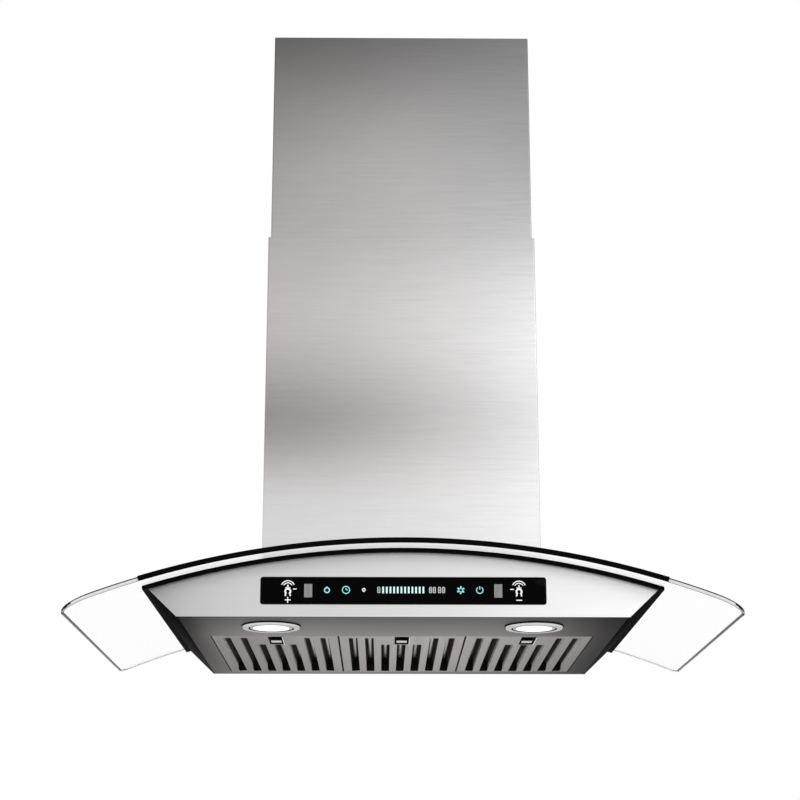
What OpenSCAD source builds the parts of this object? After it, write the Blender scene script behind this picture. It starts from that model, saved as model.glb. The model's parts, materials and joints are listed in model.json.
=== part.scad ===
// Wall mount range hood: arched glass canopy, thin steel body, telescopic chimney.
// X runs to the right, the wall is the plane y = 0 and the front is at -Y, Z is up.
// The source is drawn from the body's underside (z = 0) and then lowered, so that the
// origin of the part is the middle of its four wall holes, on the wall.

/* [Glass canopy] */
// Width of the glass, side to side
glass_w = 752; // [700:2:800]
// Depth of the glass, wall to front edge
glass_d = 500; // [490:5:540]
// Thickness of the glass
glass_t = 5; // [4:0.5:6]
// Radius of the glass's curve, on its upper face
glass_r = 984; // [960:4:1100]
// Height of the glass's upper face at its middle, over the body's underside
glass_top = 81; // [77:0.5:84]
// Radius of the front corners, in plan
glass_front_corner = 36; // [20:1:60]
// Radius of the back corners, in plan
glass_back_corner = 12; // [5:1:20]
// Thickness of the black trim on the glass's front edge
trim_t = 1.2; // [0.8:0.1:2]
// Gap round the blower box in the glass's rear notch
notch_gap = 4; // [2:0.5:5]

/* [Gasket] */
// Thickness of the rubber gasket between glass and body
seal_t = 4; // [3:0.5:5]
// Width of the gasket
seal_w = 14; // [10:1:20]
// How far the gasket stands out past the body's sides
seal_out_side = 6; // [3:0.5:8]
// How far the gasket stands out past the fascia
seal_out_front = 8; // [3:0.5:10]

/* [Body] */
// Width of the body at its underside
body_w = 500; // [490:2:520]
// Depth of the body, wall to fascia
body_d = 464; // [456:2:480]
// Lean of the side walls, in degrees from upright
side_lean = 46.3; // [40:0.5:50]
// Thickness of the body's steel sheet
body_t = 1; // [0.8:0.1:1.5]
// Thickness of the underside panel
panel_t = 1; // [0.8:0.1:1.2]
// Thickness of the back panel
back_t = 1.5; // [1:0.1:2]
// Drop from the glass's top to the underside of the bridge plate
bridge_drop = 29.5; // [27:0.5:31]
// Thickness of the bridge plate
bridge_t = 1.5; // [1:0.1:2]
// Play between panels that are fitted into each other
panel_play = 0.1; // [0.05:0.05:0.3]

/* [Touch strip] */
// Width of the touch strip
strip_w = 316; // [280:2:330]
// Height of the touch strip
strip_h = 30.7; // [26:0.1:34]
// Height of the touch strip's middle, over the body's underside
strip_z = 29; // [26:0.5:30]
// Radius of the touch strip's corners
strip_corner = 3; // [1:0.5:6]
// Thickness of the touch strip's glass
strip_t = 2.6; // [2:0.1:3]
// How far the touch strip stands out of the fascia
strip_proud = 0.4; // [0.2:0.1:0.8]
// Width of a gesture sensor window
window_w = 9; // [6:0.5:12]
// Height of a gesture sensor window
window_h = 15; // [10:0.5:18]
// Distance of a gesture sensor window from the middle
window_x = 105; // [90:1:115]
// Depth of the plastic carrier behind the touch strip
carrier_d = 11; // [9:0.5:13]
// Wall of the plastic carrier
carrier_wall = 1.6; // [1.2:0.1:2]
// Thickness of a circuit board
board_t = 1.6; // [1:0.2:2]

/* [Lamps] */
// Distance of the lamps from the body's lower side edges
lamp_side = 101; // [95:1:110]
// Distance of the lamps from the fascia
lamp_front = 62; // [54:1:64]
// Radius of the lamp's lens
lens_r = 24.5; // [22:0.5:25]
// Width of the ring between the lens and the hole in the panel
lamp_ring = 4.5; // [4:0.25:6]
// How far the bezel covers the panel round that hole
bezel_lap = 4.5; // [3.5:0.25:6]
// How far the bezel hangs below the underside
bezel_drop = 3.5; // [2:0.25:4]
// Height of the lamp body
lamp_h = 20; // [16:1:22]

/* [Filters] */
// Width of the underside beside the filters
bay_side = 25; // [20:0.5:34]
// Depth of the underside in front of the filters
front_deck = 138.5; // [136:0.5:145]
// Thickness of one filter
filter_h = 16.4; // [14:0.2:18]
// Distance of the filters' back edge from the wall
filter_back = 24.5; // [22:0.5:28]
// Gap between filters, and round them
filter_gap = 0.6; // [0.4:0.1:1]
// Thickness of the filter's steel sheet
filter_t = 0.8; // [0.6:0.1:1]
// Width of a filter slot
slot_w = 10.4; // [9:0.1:11]
// Distance from slot to slot
slot_pitch = 19.3; // [18:0.1:19.5]
// Length of the sheet in front of the long slots
slot_front = 15; // [8:0.5:16]
// Length of the sheet behind the slots
slot_back = 4.5; // [3:0.5:8]
// Height of the upper baffles' edges over the tray's face
baffle_lift = 4.8; // [4:0.1:6]
// How far the upturned walls beside the slots reach up past the baffles' edges
slot_wall_lap = 1.4; // [0:0.1:1.6]
// How far an upper baffle covers the sheet on each side of its slot
baffle_lap = 2.8; // [2.5:0.1:3.2]
// Width of an upper baffle's flat top
baffle_top_w = 5; // [3:0.2:6]

/* [Latches] */
// Width of the latch recess
recess_w = 17; // [15:0.5:19]
// Distance of the recess from the filter's front edge
recess_front = 4.5; // [3:0.5:6]
// Width of the latch slider
latch_w = 12.4; // [10:0.2:13]
// Length of the latch's pull tab
tab_l = 24; // [20:1:26]
// Distance from the recess's front to the pull tab
tab_front = 22; // [18:1:23]
// Thickness of the latch's sheet
latch_t = 1.2; // [1:0.1:1.5]
// Height of the latch's tongue over the filter's face
tongue_z = 5; // [4.4:0.1:5.2]
// Travel of the latch
latch_travel = 6; // [4:0.5:7]

/* [Chimney] */
// Room between the blower box and the lower chimney's outside, on each side
side_room = 20; // [18:0.5:30]
// Room between the blower box and the lower chimney's outside, at the front
front_room = 25; // [15:0.5:35]
// Thickness of the chimney's steel sheet
chimney_t = 1; // [0.8:0.1:1.2]
// Height of the lower chimney's top, over the body's underside
chimney_split = 521; // [500:1:560]
// Gap between the two chimneys, from sheet to sheet
chimney_gap = 2; // [1.5:0.1:2.5]
// Height of the upper chimney's top, over the body's underside
chimney_top = 804; // [780:1:850]
// Length of the upper chimney
upper_l = 420; // [380:5:440]
// Width of the lips along the chimneys' back edges
lip_w = 15; // [10:1:16]
// Thickness of the wall bracket in the upper chimney
bracket_t = 1.5; // [1.2:0.1:2]
// Height of the wall bracket
bracket_h = 30; // [20:1:40]
// Distance of the bracket from the upper chimney's top
bracket_drop = 10; // [5:1:20]
// Distance between the bracket's two wall holes
bracket_hole_gap = 200; // [160:10:240]

/* [Blower] */
// Width of the blower box
box_w = 300; // [290:2:304]
// Depth of the blower box
box_d = 250; // [246:2:256]
// Height of the blower box's top, over the body's underside
box_top = 340; // [320:1:350]
// Thickness of the blower box's sheet
box_t = 1; // [0.8:0.1:1.5]
// Width of the flange inside the box's lower and upper edges
box_flange = 14; // [12:1:16]
// Thickness of the box's top plate
top_plate_t = 1.2; // [1:0.1:2]
// Distance between the wall holes, side to side
wall_hole_x = 220; // [180:10:240]
// Distance between the wall holes, up and down
wall_hole_z = 160; // [120:10:180]
// Height of the wall holes' middle, over the body's underside
wall_hole_mid = 210; // [180:5:230]
// Radius of the wall holes
wall_hole_r = 4; // [3:0.5:5]
// Radius of the impeller
fan_r = 80; // [70:1:82]
// Width of the impeller
fan_w = 140; // [120:2:144]
// Number of impeller blades
blade_count = 32; // [24:2:40]
// Depth of a blade, along the radius
blade_d = 12; // [10:1:14]
// Gap between the impeller and the scroll where it begins
scroll_gap = 8; // [6:0.5:9]
// Growth of the scroll's radius in each quarter turn
scroll_step = 6; // [4:0.5:7]
// Gap between the impeller and each side of the scroll
fan_side_gap = 5; // [4:0.5:7]
// Thickness of the scroll's sheet
scroll_t = 1; // [0.8:0.1:1.2]
// Gap between the scroll and the wall
scroll_back_gap = 6; // [5:0.5:12]
// Gap between the scroll and the bottom of the blower box
scroll_floor_gap = 15.5; // [12.5:0.5:25]
// Radius of the fan's inlets
inlet_r = 66; // [60:1:68]
// Radius of the motor
motor_r = 40; // [36:1:46]
// Radius of the motor's shaft
shaft_r = 4; // [3:0.5:5]
// Running clearance of shafts and pins in their holes
run_gap = 0.05; // [0.02:0.01:0.1]

/* [Duct collar] */
// Outer radius of the duct collar
collar_r = 75; // [73:0.5:75]
// Height of the duct collar
collar_h = 50; // [40:1:60]
// Wall of the duct collar
collar_t = 1.2; // [1:0.1:2]
// Distance of the collar's axis from the wall
collar_y = 146; // [140:1:150]
// Radius of the damper pin
pin_r = 2; // [1.5:0.25:2.5]
// Thickness of a damper flap
flap_t = 1; // [0.8:0.1:1.5]
// Radius of the bore in the cable gland
gland_bore_r = 4; // [3:0.5:5]

/* [Electrics] */
// Width of the power box
power_w = 120; // [100:5:130]
// Depth of the power box
power_d = 70; // [60:2:76]
// Height of the power box
power_h = 38; // [34:1:42]
// Wall of the power box
power_wall = 2; // [1.5:0.1:2.5]

/* [Fasteners] */
// Radius of the glass screws' shank
glass_screw_r = 3; // [2.5:0.5:3]
// Radius of the small screws' shank
screw_r = 2; // [1.5:0.5:2.5]
// Height of a screw's head
head_h = 1.8; // [1.4:0.1:1.8]

/* [Hidden] */
$fn = 64;
eps = 0.01;
over = 1;

// Arch of the glass: every curved sheet shares one axis along Y
arc_z = glass_top - glass_r;
under_r = glass_r - glass_t;
deck_r = under_r - seal_t;
deck_in_r = deck_r - body_t;
film = 0.05;
function arch_height(r, x) = arc_z + sqrt(r * r - x * x);
function arch_half_width(r, z) = sqrt(r * r - pow(z - arc_z, 2));

// Body: the side walls lean outwards up to the corner where they meet the arch
lean = tan(side_lean);
wall_run = body_t / cos(side_lean);
// Height at which a side wall, leaning out from half, meets the arch of radius r
function corner_height(half, r) =
    let (
        a = 1 + lean * lean,
        b = half * lean - arc_z,
        c = half * half + arc_z * arc_z - r * r
    )
    (-b + sqrt(b * b - a * c)) / a;
corner_x = body_w / 2 + lean * corner_height(body_w / 2, deck_r);
seal_half_w = corner_x + seal_out_side;
seal_front = body_d + seal_out_front;
bridge_z = glass_top - bridge_drop;

// Lamps
lamp_x = body_w / 2 - lamp_side;
lamp_y = body_d - lamp_front;
lamp_r = lens_r + lamp_ring;
bezel_r = lamp_r + bezel_lap;

// Filters and the bay that holds them
filter_count = 3;
bay_half_w = body_w / 2 - bay_side;
filter_pitch = (2 * bay_half_w - filter_gap) / filter_count;
filter_w = filter_pitch - filter_gap;
filter_front = body_d - front_deck;
filter_lift = 0.2;
fold_r = 1;
bay_front = filter_front + filter_gap;
bay_back = filter_back - filter_gap;
bay_wall_h = filter_lift + filter_h + 1.5;
bay_flange = 6;
slot_wall_h = baffle_lift + slot_wall_lap;
slot_margin = 2;
slots_each_side = floor(
    (filter_w / 2 - filter_t - slot_margin - slot_w / 2 - baffle_lap) / slot_pitch
);
slot_count = 2 * slots_each_side + 1;
middle_slots = 3;
recess_l = tab_front + tab_l + 2 * latch_travel;
recess_back = filter_front - recess_front - recess_l;
pocket_wall = 0.8;
pocket_h = 8;
middle_slot_front = recess_back - pocket_wall - 2;
slot_front_y = filter_front - slot_front;
slot_back_y = filter_back + slot_back;
tab_y = filter_front - recess_front - tab_front;
tab_back = tab_y - tab_l;
tongue_reach = 0.3;
hook_w = 20;
hook_x = 45;
hook_l = 8.5;
hook_lift = 1.2;

// Blower and its openings
box_bottom = bridge_z + bridge_t;
box_wall_top = box_top - top_plate_t;
scroll_r = fan_r + scroll_gap;
scroll_side = fan_w / 2 + fan_side_gap;
fan_y = scroll_r + scroll_step / 2 + scroll_t + scroll_back_gap;
fan_z = box_bottom + scroll_floor_gap + scroll_t + scroll_r + 3 * scroll_step / 2;
scroll_top = box_wall_top - film;
outlet_front = scroll_r + 2 * scroll_step + scroll_step / 2;
outlet_back = 12;
outlet_flange = 16;
volute_flange_t = 1.2;
outlet_r = collar_r - collar_t - 1.8;
motor_x0 = 6;
motor_x1 = scroll_side - 9;
boss_r = 16;
grommet_t = 3;
grommet_r = 8;
grommet_ring = inlet_r + grommet_r;
bracket_plate_t = 2;
hub_w = 14;
hub_r = 10;
gland_from_side = 30;
gland_x = box_w / 2 - gland_from_side;
gland_y = 32;
gland_r = 9;
gland_h = 22;

// Damper
pin_z = box_top + 12;
flap_r = collar_r - collar_t - 1.3;
knuckle_r = pin_r + 1.3;
flap_start = knuckle_r + 0.8;
stop_w = 4;
stop_t = 1.5;
knuckle_l = 18;
front_knuckles = [-52, 4];
back_knuckles = [-28, 30];

// Chimneys
chimney_w = box_w + 2 * side_room;
chimney_d = box_d + front_room;
upper_w = chimney_w - 2 * chimney_t - 2 * chimney_gap;
upper_front = chimney_d - chimney_t - chimney_gap;
upper_back = chimney_t + 0.3;
upper_bottom = chimney_top - upper_l;
chimney_clear = 0.3;
glide_t = chimney_gap - 0.3;
glide_h = 16;
glide_l = 30;
glide_from_side = 70;
glide_x = chimney_w / 2 - glide_from_side;
glide_z = chimney_split - glide_h - 6;
bracket_z = chimney_top - bracket_drop - bracket_h;
bracket_half = upper_w / 2 - lip_w - 5;
bracket_wing_y = 8;
bracket_ear_l = 34;
bracket_hole_r = 3;
chimney_screw_y = 26;
tab_z = arch_height(glass_r, box_w / 2) + 4;
tab_h = 20;
tab_front_y = 60;
tab_back_y = 20;
tab_sheet = 1.5;
tab_screw_z = tab_z + tab_h / 2 + 2;

// Fastener places
glass_screw_angle = asin((box_w / 2 + notch_gap + 7.5) / glass_r);
glass_screw_ys = [60, box_d - 20];
glass_head_r = 5;
glass_head_h = 3;
spacer_r = 7;
box_screw_x = box_w / 2 - box_flange / 2;
box_screw_ys = [box_flange / 2 + 1, box_d - box_flange / 2];
screw_head_r = 3.8;
screw_tip = 3;
safety_from_side = 50;
safety_x = body_w / 2 - safety_from_side;
safety_z = 24;
safety_r = 3;

// Touch strip
strip_back_y = body_d + strip_proud - strip_t;
carrier_w = strip_w + 10;
carrier_h = strip_h + 7;
carrier_y = body_d - body_t - film;
lens_play = 0.2;
board_w = strip_w - 14;
board_h = strip_h - 6;
board_y = strip_back_y - 3.2;

// Power box
power_y = body_d - 53 - power_d / 2;
power_z = panel_t + film;
lid_t = 2;
capacitor_h = 22;
terminal_pitch = 9;

// Sheets and bars drawn in plan, side view or front view
module along_y(front, back) {
    translate([0, -back, 0]) rotate([90, 0, 0]) linear_extrude(front - back) children();
}
module along_x(x0, x1) {
    translate([x0, 0, 0]) rotate([90, 0, 90]) linear_extrude(x1 - x0) children();
}
module along_z(z0, z1) {
    translate([0, 0, z0]) linear_extrude(z1 - z0) children();
}
// A block from its two corners; front and back are distances from the wall
module block(x0, x1, front, back, z0, z1) {
    translate([x0, -front, z0]) cube([x1 - x0, front - back, z1 - z0]);
}
module arch(r_out, r_in, front, back) {
    along_y(front, back) translate([0, arc_z]) difference() {
        circle(r = r_out, $fn = 200);
        circle(r = r_in, $fn = 200);
    }
}
module rounded_rect(w, h, r) {
    union() {
        square([w - 2 * r, h], center = true);
        square([w, h - 2 * r], center = true);
        for (x = [-1, 1], y = [-1, 1]) {
            translate([x * (w / 2 - r), y * (h / 2 - r)]) circle(r = r);
        }
    }
}
// Front view of the body, drawn in by a wall's thickness
module body_outline(inset, floor_z) {
    half = body_w / 2 - inset / cos(side_lean);
    intersection() {
        translate([0, arc_z]) circle(r = deck_r - inset, $fn = 200);
        polygon([
            [-half - floor_z * lean, floor_z],
            [half + floor_z * lean, floor_z],
            [half + glass_top * lean, glass_top],
            [-half - glass_top * lean, glass_top]
        ]);
    }
}

// Glass canopy
module glass_plan() {
    front_r = glass_front_corner;
    back_r = glass_back_corner;
    half = glass_w / 2;
    union() {
        translate([-half + front_r, -glass_d]) square([glass_w - 2 * front_r, front_r + over]);
        for (x = [-1, 1]) {
            translate([x * (half - front_r), -glass_d + front_r]) circle(r = front_r);
            translate([x * (half - back_r), -back_r]) circle(r = back_r);
        }
        translate([-half, -glass_d + front_r]) square([glass_w, glass_d - front_r - back_r]);
        translate([-half + back_r, -back_r - over]) square([glass_w - 2 * back_r, back_r + over]);
    }
}
module glass_canopy() color([0.85, 0.93, 0.92, 0.4]) difference() {
    intersection() {
        arch(glass_r, under_r, glass_d + over, -over);
        along_z(-glass_top, glass_top + over) glass_plan();
    }
    block(
        -box_w / 2 - notch_gap, box_w / 2 + notch_gap,
        box_d + notch_gap, -over, 0, glass_top + over
    );
    at_glass_screws() cylinder(r = glass_screw_r + 1, h = 4 * glass_t, center = true);
}
module glass_front_trim() color("black") intersection() {
    arch(glass_r, under_r, glass_d + trim_t, glass_d);
    block(-seal_half_w, seal_half_w, glass_d + trim_t, glass_d, 0, glass_top + over);
}
module glass_gasket() color([0.08, 0.08, 0.08]) intersection() {
    arch(under_r - film, deck_r + film, seal_front, 0);
    difference() {
        block(-seal_half_w, seal_half_w, seal_front, 0, 0, glass_top);
        block(
            -seal_half_w + seal_w, seal_half_w - seal_w,
            seal_front - seal_w, -over, -over, glass_top + over
        );
    }
}
// The screws stand square to the glass, beside its rear notch
module at_glass_screws() {
    for (side = [-1, 1], y = glass_screw_ys) {
        translate([0, -y, arc_z]) rotate([0, side * glass_screw_angle, 0])
            translate([0, 0, glass_r]) children();
    }
}
module glass_spacers() color([0.1, 0.1, 0.1]) at_glass_screws()
    translate([0, 0, -glass_t - seal_t + film]) difference() {
        cylinder(r = spacer_r, h = seal_t - 2 * film);
        translate([0, 0, -over]) cylinder(r = glass_screw_r + film, h = seal_t + 2 * over);
    }
module glass_screws() color("silver") at_glass_screws() union() {
    nut_top = -glass_t - seal_t - body_t - 0.15;
    nut_h = 2.5;
    tip = nut_top - nut_h - 1;
    translate([0, 0, film]) cylinder(r = glass_head_r, h = glass_head_h);
    translate([0, 0, tip]) cylinder(r = glass_screw_r, h = 2 * film - tip);
    translate([0, 0, nut_top - nut_h]) cylinder(r = glass_screw_r + 2.5, h = nut_h, $fn = 6);
}

// Steel body
module body_shell() color([0.78, 0.78, 0.79]) difference() {
    along_y(body_d, 0) body_outline(0, 0);
    along_y(body_d - body_t, -over) body_outline(body_t, -over);
    block(-box_w / 2 - 1, box_w / 2 + 1, box_d + 1, -over, bridge_z, glass_top + over);
    at_strip(body_d + over, body_d - body_t - over, 2 * lens_play);
    at_glass_screws() translate([0, 0, -glass_t - seal_t]) {
        cylinder(r = glass_screw_r + 0.2, h = 6, center = true);
    }
}
module underside_panel() {
    half = body_w / 2 - wall_run - film;
    front = body_d - body_t - film;
    color([0.55, 0.54, 0.53]) difference() {
        union() {
            block(-half, half, front, back_t + film, 0, panel_t);
            // walls round the bay, the front one with a flange that turns outwards
            block(
                -bay_half_w - panel_t, bay_half_w + panel_t,
                bay_front + panel_t, bay_back, 0, bay_wall_h
            );
            block(
                -bay_half_w, bay_half_w, bay_front + bay_flange, bay_front,
                bay_wall_h - panel_t, bay_wall_h
            );
        }
        block(-bay_half_w, bay_half_w, bay_front, bay_back, -over, bay_wall_h + over);
        for (side = [-1, 1]) {
            translate([side * lamp_x, -lamp_y, -over])
                cylinder(r = lamp_r + 0.3, h = panel_t + 2 * over);
        }
        at_filters() tongue_slot(bay_front - over, bay_front + 2 * over);
    }
}
module back_panel() color([0.6, 0.6, 0.6]) difference() {
    along_y(back_t, 0) body_outline(body_t + film, 0);
    block(
        -box_w / 2 - panel_play, box_w / 2 + panel_play,
        back_t + over, -over, bridge_z - panel_play, glass_top
    );
    at_safety_holes() cylinder(r = safety_r, h = 4 * back_t, center = true);
}
module at_safety_holes() {
    for (side = [-1, 1]) translate([side * safety_x, 0, safety_z]) rotate([90, 0, 0]) children();
}
module bridge_plate() {
    half = arch_half_width(deck_in_r, bridge_z + bridge_t) - 0.2;
    opening = box_w / 2 - box_flange;
    color([0.62, 0.64, 0.66]) difference() {
        block(-half, half, box_d + 30, back_t + panel_play, bridge_z, bridge_z + bridge_t);
        block(
            -opening, opening, box_d - box_flange, box_flange,
            bridge_z - over, bridge_z + bridge_t + over
        );
        at_box_screws() cylinder(r = screw_r + film, h = 3 * box_bottom, center = true);
    }
}

// Touch strip in the fascia
module at_strip(front, back, grow) {
    along_y(front, back) translate([0, strip_z])
        rounded_rect(strip_w + grow, strip_h + grow, strip_corner + grow / 2);
}
module window_block(side, grow, front, back) {
    block(
        side * window_x - window_w / 2 - grow, side * window_x + window_w / 2 + grow,
        front, back,
        strip_z - window_h / 2 - grow, strip_z + window_h / 2 + grow
    );
}
module touch_strip() color([0.02, 0.02, 0.03]) difference() {
    at_strip(body_d + strip_proud, strip_back_y, 0);
    for (side = [-1, 1]) window_block(side, film, body_d + over, strip_back_y - over);
}
module gesture_window(side) color([0.4, 0.4, 0.41])
    window_block(side, 0, body_d + strip_proud - 0.1, strip_back_y);
module strip_carrier() {
    pocket_w = carrier_w - 10 - 4 * carrier_wall;
    pocket_h = carrier_h - 7 - 2 * carrier_wall;
    back_y = carrier_y - carrier_d;
    color([0.12, 0.12, 0.13]) difference() {
        block(
            -carrier_w / 2, carrier_w / 2, carrier_y, back_y,
            strip_z - carrier_h / 2, strip_z + carrier_h / 2
        );
        at_strip(body_d, strip_back_y - film, 2 * lens_play);
        block(
            -pocket_w / 2, pocket_w / 2, carrier_y + over, back_y + carrier_wall,
            strip_z - pocket_h / 2, strip_z + pocket_h / 2
        );
    }
}
module control_board() color([0.1, 0.35, 0.18]) union() {
    back_y = carrier_y - carrier_d + carrier_wall + film;
    block(
        -board_w / 2, board_w / 2, board_y, board_y - board_t,
        strip_z - board_h / 2, strip_z + board_h / 2
    );
    // four stand-offs carry the board on the carrier's floor
    for (x = [-1, 1], z = [-1, 1]) {
        block(
            x * (board_w / 2 - 8) - 2, x * (board_w / 2 - 8) + 2, board_y - board_t, back_y,
            strip_z + z * (board_h / 2 - 4) - 2, strip_z + z * (board_h / 2 - 4) + 2
        );
    }
}

// Lamps, each turned about its own upright axis
module at_lamp(side) {
    translate([side * lamp_x, -lamp_y, 0]) children();
}
module lamp_bezel(side) color([0.85, 0.85, 0.87]) at_lamp(side) rotate_extrude($fn = 96)
    polygon([
        [lens_r + 0.2, -0.2], [lens_r + 0.2, -bezel_drop + 1.2],
        [lamp_r - 1.5, -bezel_drop], [lamp_r + 1, -bezel_drop],
        [bezel_r, -0.8], [bezel_r, -0.05], [lamp_r, -0.05], [lamp_r - 1, -0.2]
    ]);
module lamp_lens(side) color([0.97, 0.97, 0.95]) at_lamp(side)
    translate([0, 0, -bezel_drop + 1.4]) cylinder(r = lens_r, h = bezel_drop - 1.4);
module lamp_body(side) color([0.7, 0.7, 0.72]) at_lamp(side) union() {
    translate([0, 0, film]) cylinder(r = lamp_r, h = lamp_h - 6);
    translate([0, 0, lamp_h - 6]) cylinder(r = lamp_r - 8, h = 6);
}
module lamp_clips() {
    foot = lamp_r + 9;
    rise = lamp_h - 9;
    sheet = 0.6;
    color([0.75, 0.75, 0.76]) for (side = [-1, 1], turn = [0, 180]) {
        at_lamp(side) rotate([0, 0, turn]) translate([0, 4, 0]) rotate([90, 0, 0])
            linear_extrude(8) polygon([
                [lamp_r + film, rise - 4], [lamp_r + film, rise + sheet], [lamp_r + 1, rise + sheet],
                [foot, panel_t + film + sheet], [foot + 3, panel_t + film + sheet],
                [foot + 3, panel_t + film], [foot - 0.5, panel_t + film],
                [lamp_r + 0.7, rise - 1], [lamp_r + 0.7, rise - 4]
            ]);
    }
}

// Filters: a pressed tray with slots, and inverted channels over the slots
module at_filter(index) {
    translate([index * filter_pitch, 0, filter_lift]) children();
}
module at_filters() {
    last = (filter_count - 1) / 2;
    for (index = [-last : last]) at_filter(index) children();
}
function slot_x(i) = (i - (slot_count - 1) / 2) * slot_pitch;
function slot_starts(i) = abs(i - (slot_count - 1) / 2) <= (middle_slots - 1) / 2
    ? middle_slot_front : slot_front_y;
module tongue_slot(back, front) {
    play = 0.3;
    block(
        -latch_w / 2 - play, latch_w / 2 + play, front, back,
        tongue_z - play, tongue_z + latch_t + play
    );
}
module filter_tray() {
    half = filter_w / 2;
    color([0.62, 0.61, 0.6]) difference() {
        union() {
            // bottom sheet with its four folded edges; the filter swings down about the back fold
            difference() {
                union() {
                    block(-half, half, filter_front, filter_back + fold_r, 0, filter_h);
                    block(-half, half, filter_back + fold_r, filter_back, fold_r, filter_h);
                    along_x(-half, half) translate([-filter_back - fold_r, fold_r]) circle(r = fold_r);
                }
                block(
                    -half + filter_t, half - filter_t,
                    filter_front - filter_t, filter_back + filter_t, filter_t, filter_h + over
                );
            }
            // upturned walls beside each slot
            for (i = [0 : slot_count - 1]) {
                block(
                    slot_x(i) - slot_w / 2 - filter_t, slot_x(i) + slot_w / 2 + filter_t,
                    slot_starts(i), slot_back_y, 0, slot_wall_h
                );
            }
            // pocket over the latch
            block(
                -recess_w / 2 - pocket_wall, recess_w / 2 + pocket_wall,
                filter_front - recess_front + pocket_wall, recess_back - pocket_wall, 0, pocket_h
            );
            // hooks that lie on the panel behind the bay
            for (side = [-1, 1]) {
                block(
                    side * hook_x - hook_w / 2, side * hook_x + hook_w / 2,
                    filter_back + filter_t, filter_back - hook_l, hook_lift, hook_lift + 1
                );
            }
        }
        for (i = [0 : slot_count - 1]) {
            block(
                slot_x(i) - slot_w / 2, slot_x(i) + slot_w / 2,
                slot_starts(i) + eps, slot_back_y - eps, -over, filter_h
            );
        }
        block(
            -recess_w / 2, recess_w / 2,
            filter_front - recess_front, recess_back, -over, pocket_h - pocket_wall
        );
        tongue_slot(recess_back + over, filter_front + over);
    }
}
// Front view of an upper baffle: a channel, open below, with sloping sides
module baffle_outline() {
    half = slot_w / 2 + baffle_lap;
    top_half = baffle_top_w / 2;
    low = baffle_lift;
    top = filter_h - film;
    skin = filter_t * 1.2;
    difference() {
        polygon([[-half, low], [half, low], [top_half, top], [-top_half, top]]);
        polygon([
            [-half + skin, low - over], [half - skin, low - over], [half - skin, low],
            [top_half - skin / 2, top - filter_t], [-top_half + skin / 2, top - filter_t],
            [-half + skin, low]
        ]);
    }
}
module filter_baffles() {
    end_x = filter_w / 2 - filter_t - film;
    top = filter_h - film;
    back = slot_back_y + 8;
    color([0.58, 0.57, 0.56]) union() {
        for (i = [0 : slot_count - 1]) {
            translate([slot_x(i), 0, 0]) along_y(min(slot_starts(i), slot_front_y - 2), back)
                baffle_outline();
        }
        // crossbars that carry the channels between the tray's folded sides
        for (y = [back, middle_slot_front - 30]) {
            block(-end_x, end_x, y + 12, y, top - filter_t, top);
        }
    }
}
module latch() {
    half = latch_w / 2;
    front = bay_front - tongue_reach;
    leg = latch_t;
    color([0.8, 0.8, 0.8]) union() {
        block(-half, half, front, tab_back, tongue_z, tongue_z + latch_t);
        block(-half, half, tab_back + leg, tab_back, 0.1, tongue_z + latch_t);
        block(-half, half, tab_y, tab_back, 0.1, 0.1 + latch_t);
    }
}
module latch_spring() {
    coil_r = 2.2;
    wire = 0.5;
    turns = 5;
    length = tab_back - recess_back - 2 * film;
    mid_z = tongue_z - 1.2;
    pitch = length / turns;
    color([0.5, 0.5, 0.5]) translate([0, -recess_back - film, mid_z]) rotate([90, 0, 0])
        rotate_extrude($fn = 32) union() {
            square([coil_r - wire, length]);
            for (i = [0 : turns - 1]) {
                translate([0, i * pitch]) square([coil_r, pitch / 2]);
            }
        }
}

// Blower box and what hangs in it
module at_box_screws() {
    for (side = [-1, 1], y = box_screw_ys) translate([side * box_screw_x, -y, 0]) children();
}
module at_wall_holes() {
    for (x = [-1, 1], z = [-1, 1]) {
        translate([x * wall_hole_x / 2, 0, wall_hole_mid + z * wall_hole_z / 2])
            rotate([90, 0, 0]) children();
    }
}
module blower_box() {
    half = box_w / 2;
    color([0.66, 0.68, 0.7]) difference() {
        block(-half, half, box_d, 0, box_bottom, box_wall_top);
        block(
            -half + box_t, half - box_t, box_d - box_t, box_t,
            box_bottom + box_t, box_wall_top - box_t
        );
        block(
            -half + box_flange, half - box_flange, box_d - box_flange, box_flange,
            box_bottom - over, box_wall_top + over
        );
        at_wall_holes() cylinder(r = wall_hole_r, h = 4 * box_t, center = true);
        at_box_screws() cylinder(r = screw_r + film, h = 3 * box_top, center = true);
    }
}
module blower_top_plate() color([0.66, 0.68, 0.7]) difference() {
    block(-box_w / 2, box_w / 2, box_d, 0, box_wall_top, box_top);
    translate([0, -collar_y, box_wall_top - over]) cylinder(r = outlet_r, h = top_plate_t + 2 * over);
    translate([gland_x, -gland_y, box_wall_top - over])
        cylinder(r = gland_r - 2 + film, h = top_plate_t + 2 * over);
    at_box_screws() cylinder(r = screw_r + film, h = 3 * box_top, center = true);
}
module body_screws() color("silver") union() {
    at_box_screws() {
        translate([0, 0, bridge_z]) mirror([0, 0, 1]) cover_screw(bridge_t + box_t + screw_tip);
        translate([0, 0, box_top]) cover_screw(top_plate_t + box_t + screw_tip);
    }
    at_tab_screws(chimney_w / 2) cover_screw(chimney_t + tab_sheet + screw_tip);
}
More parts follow.
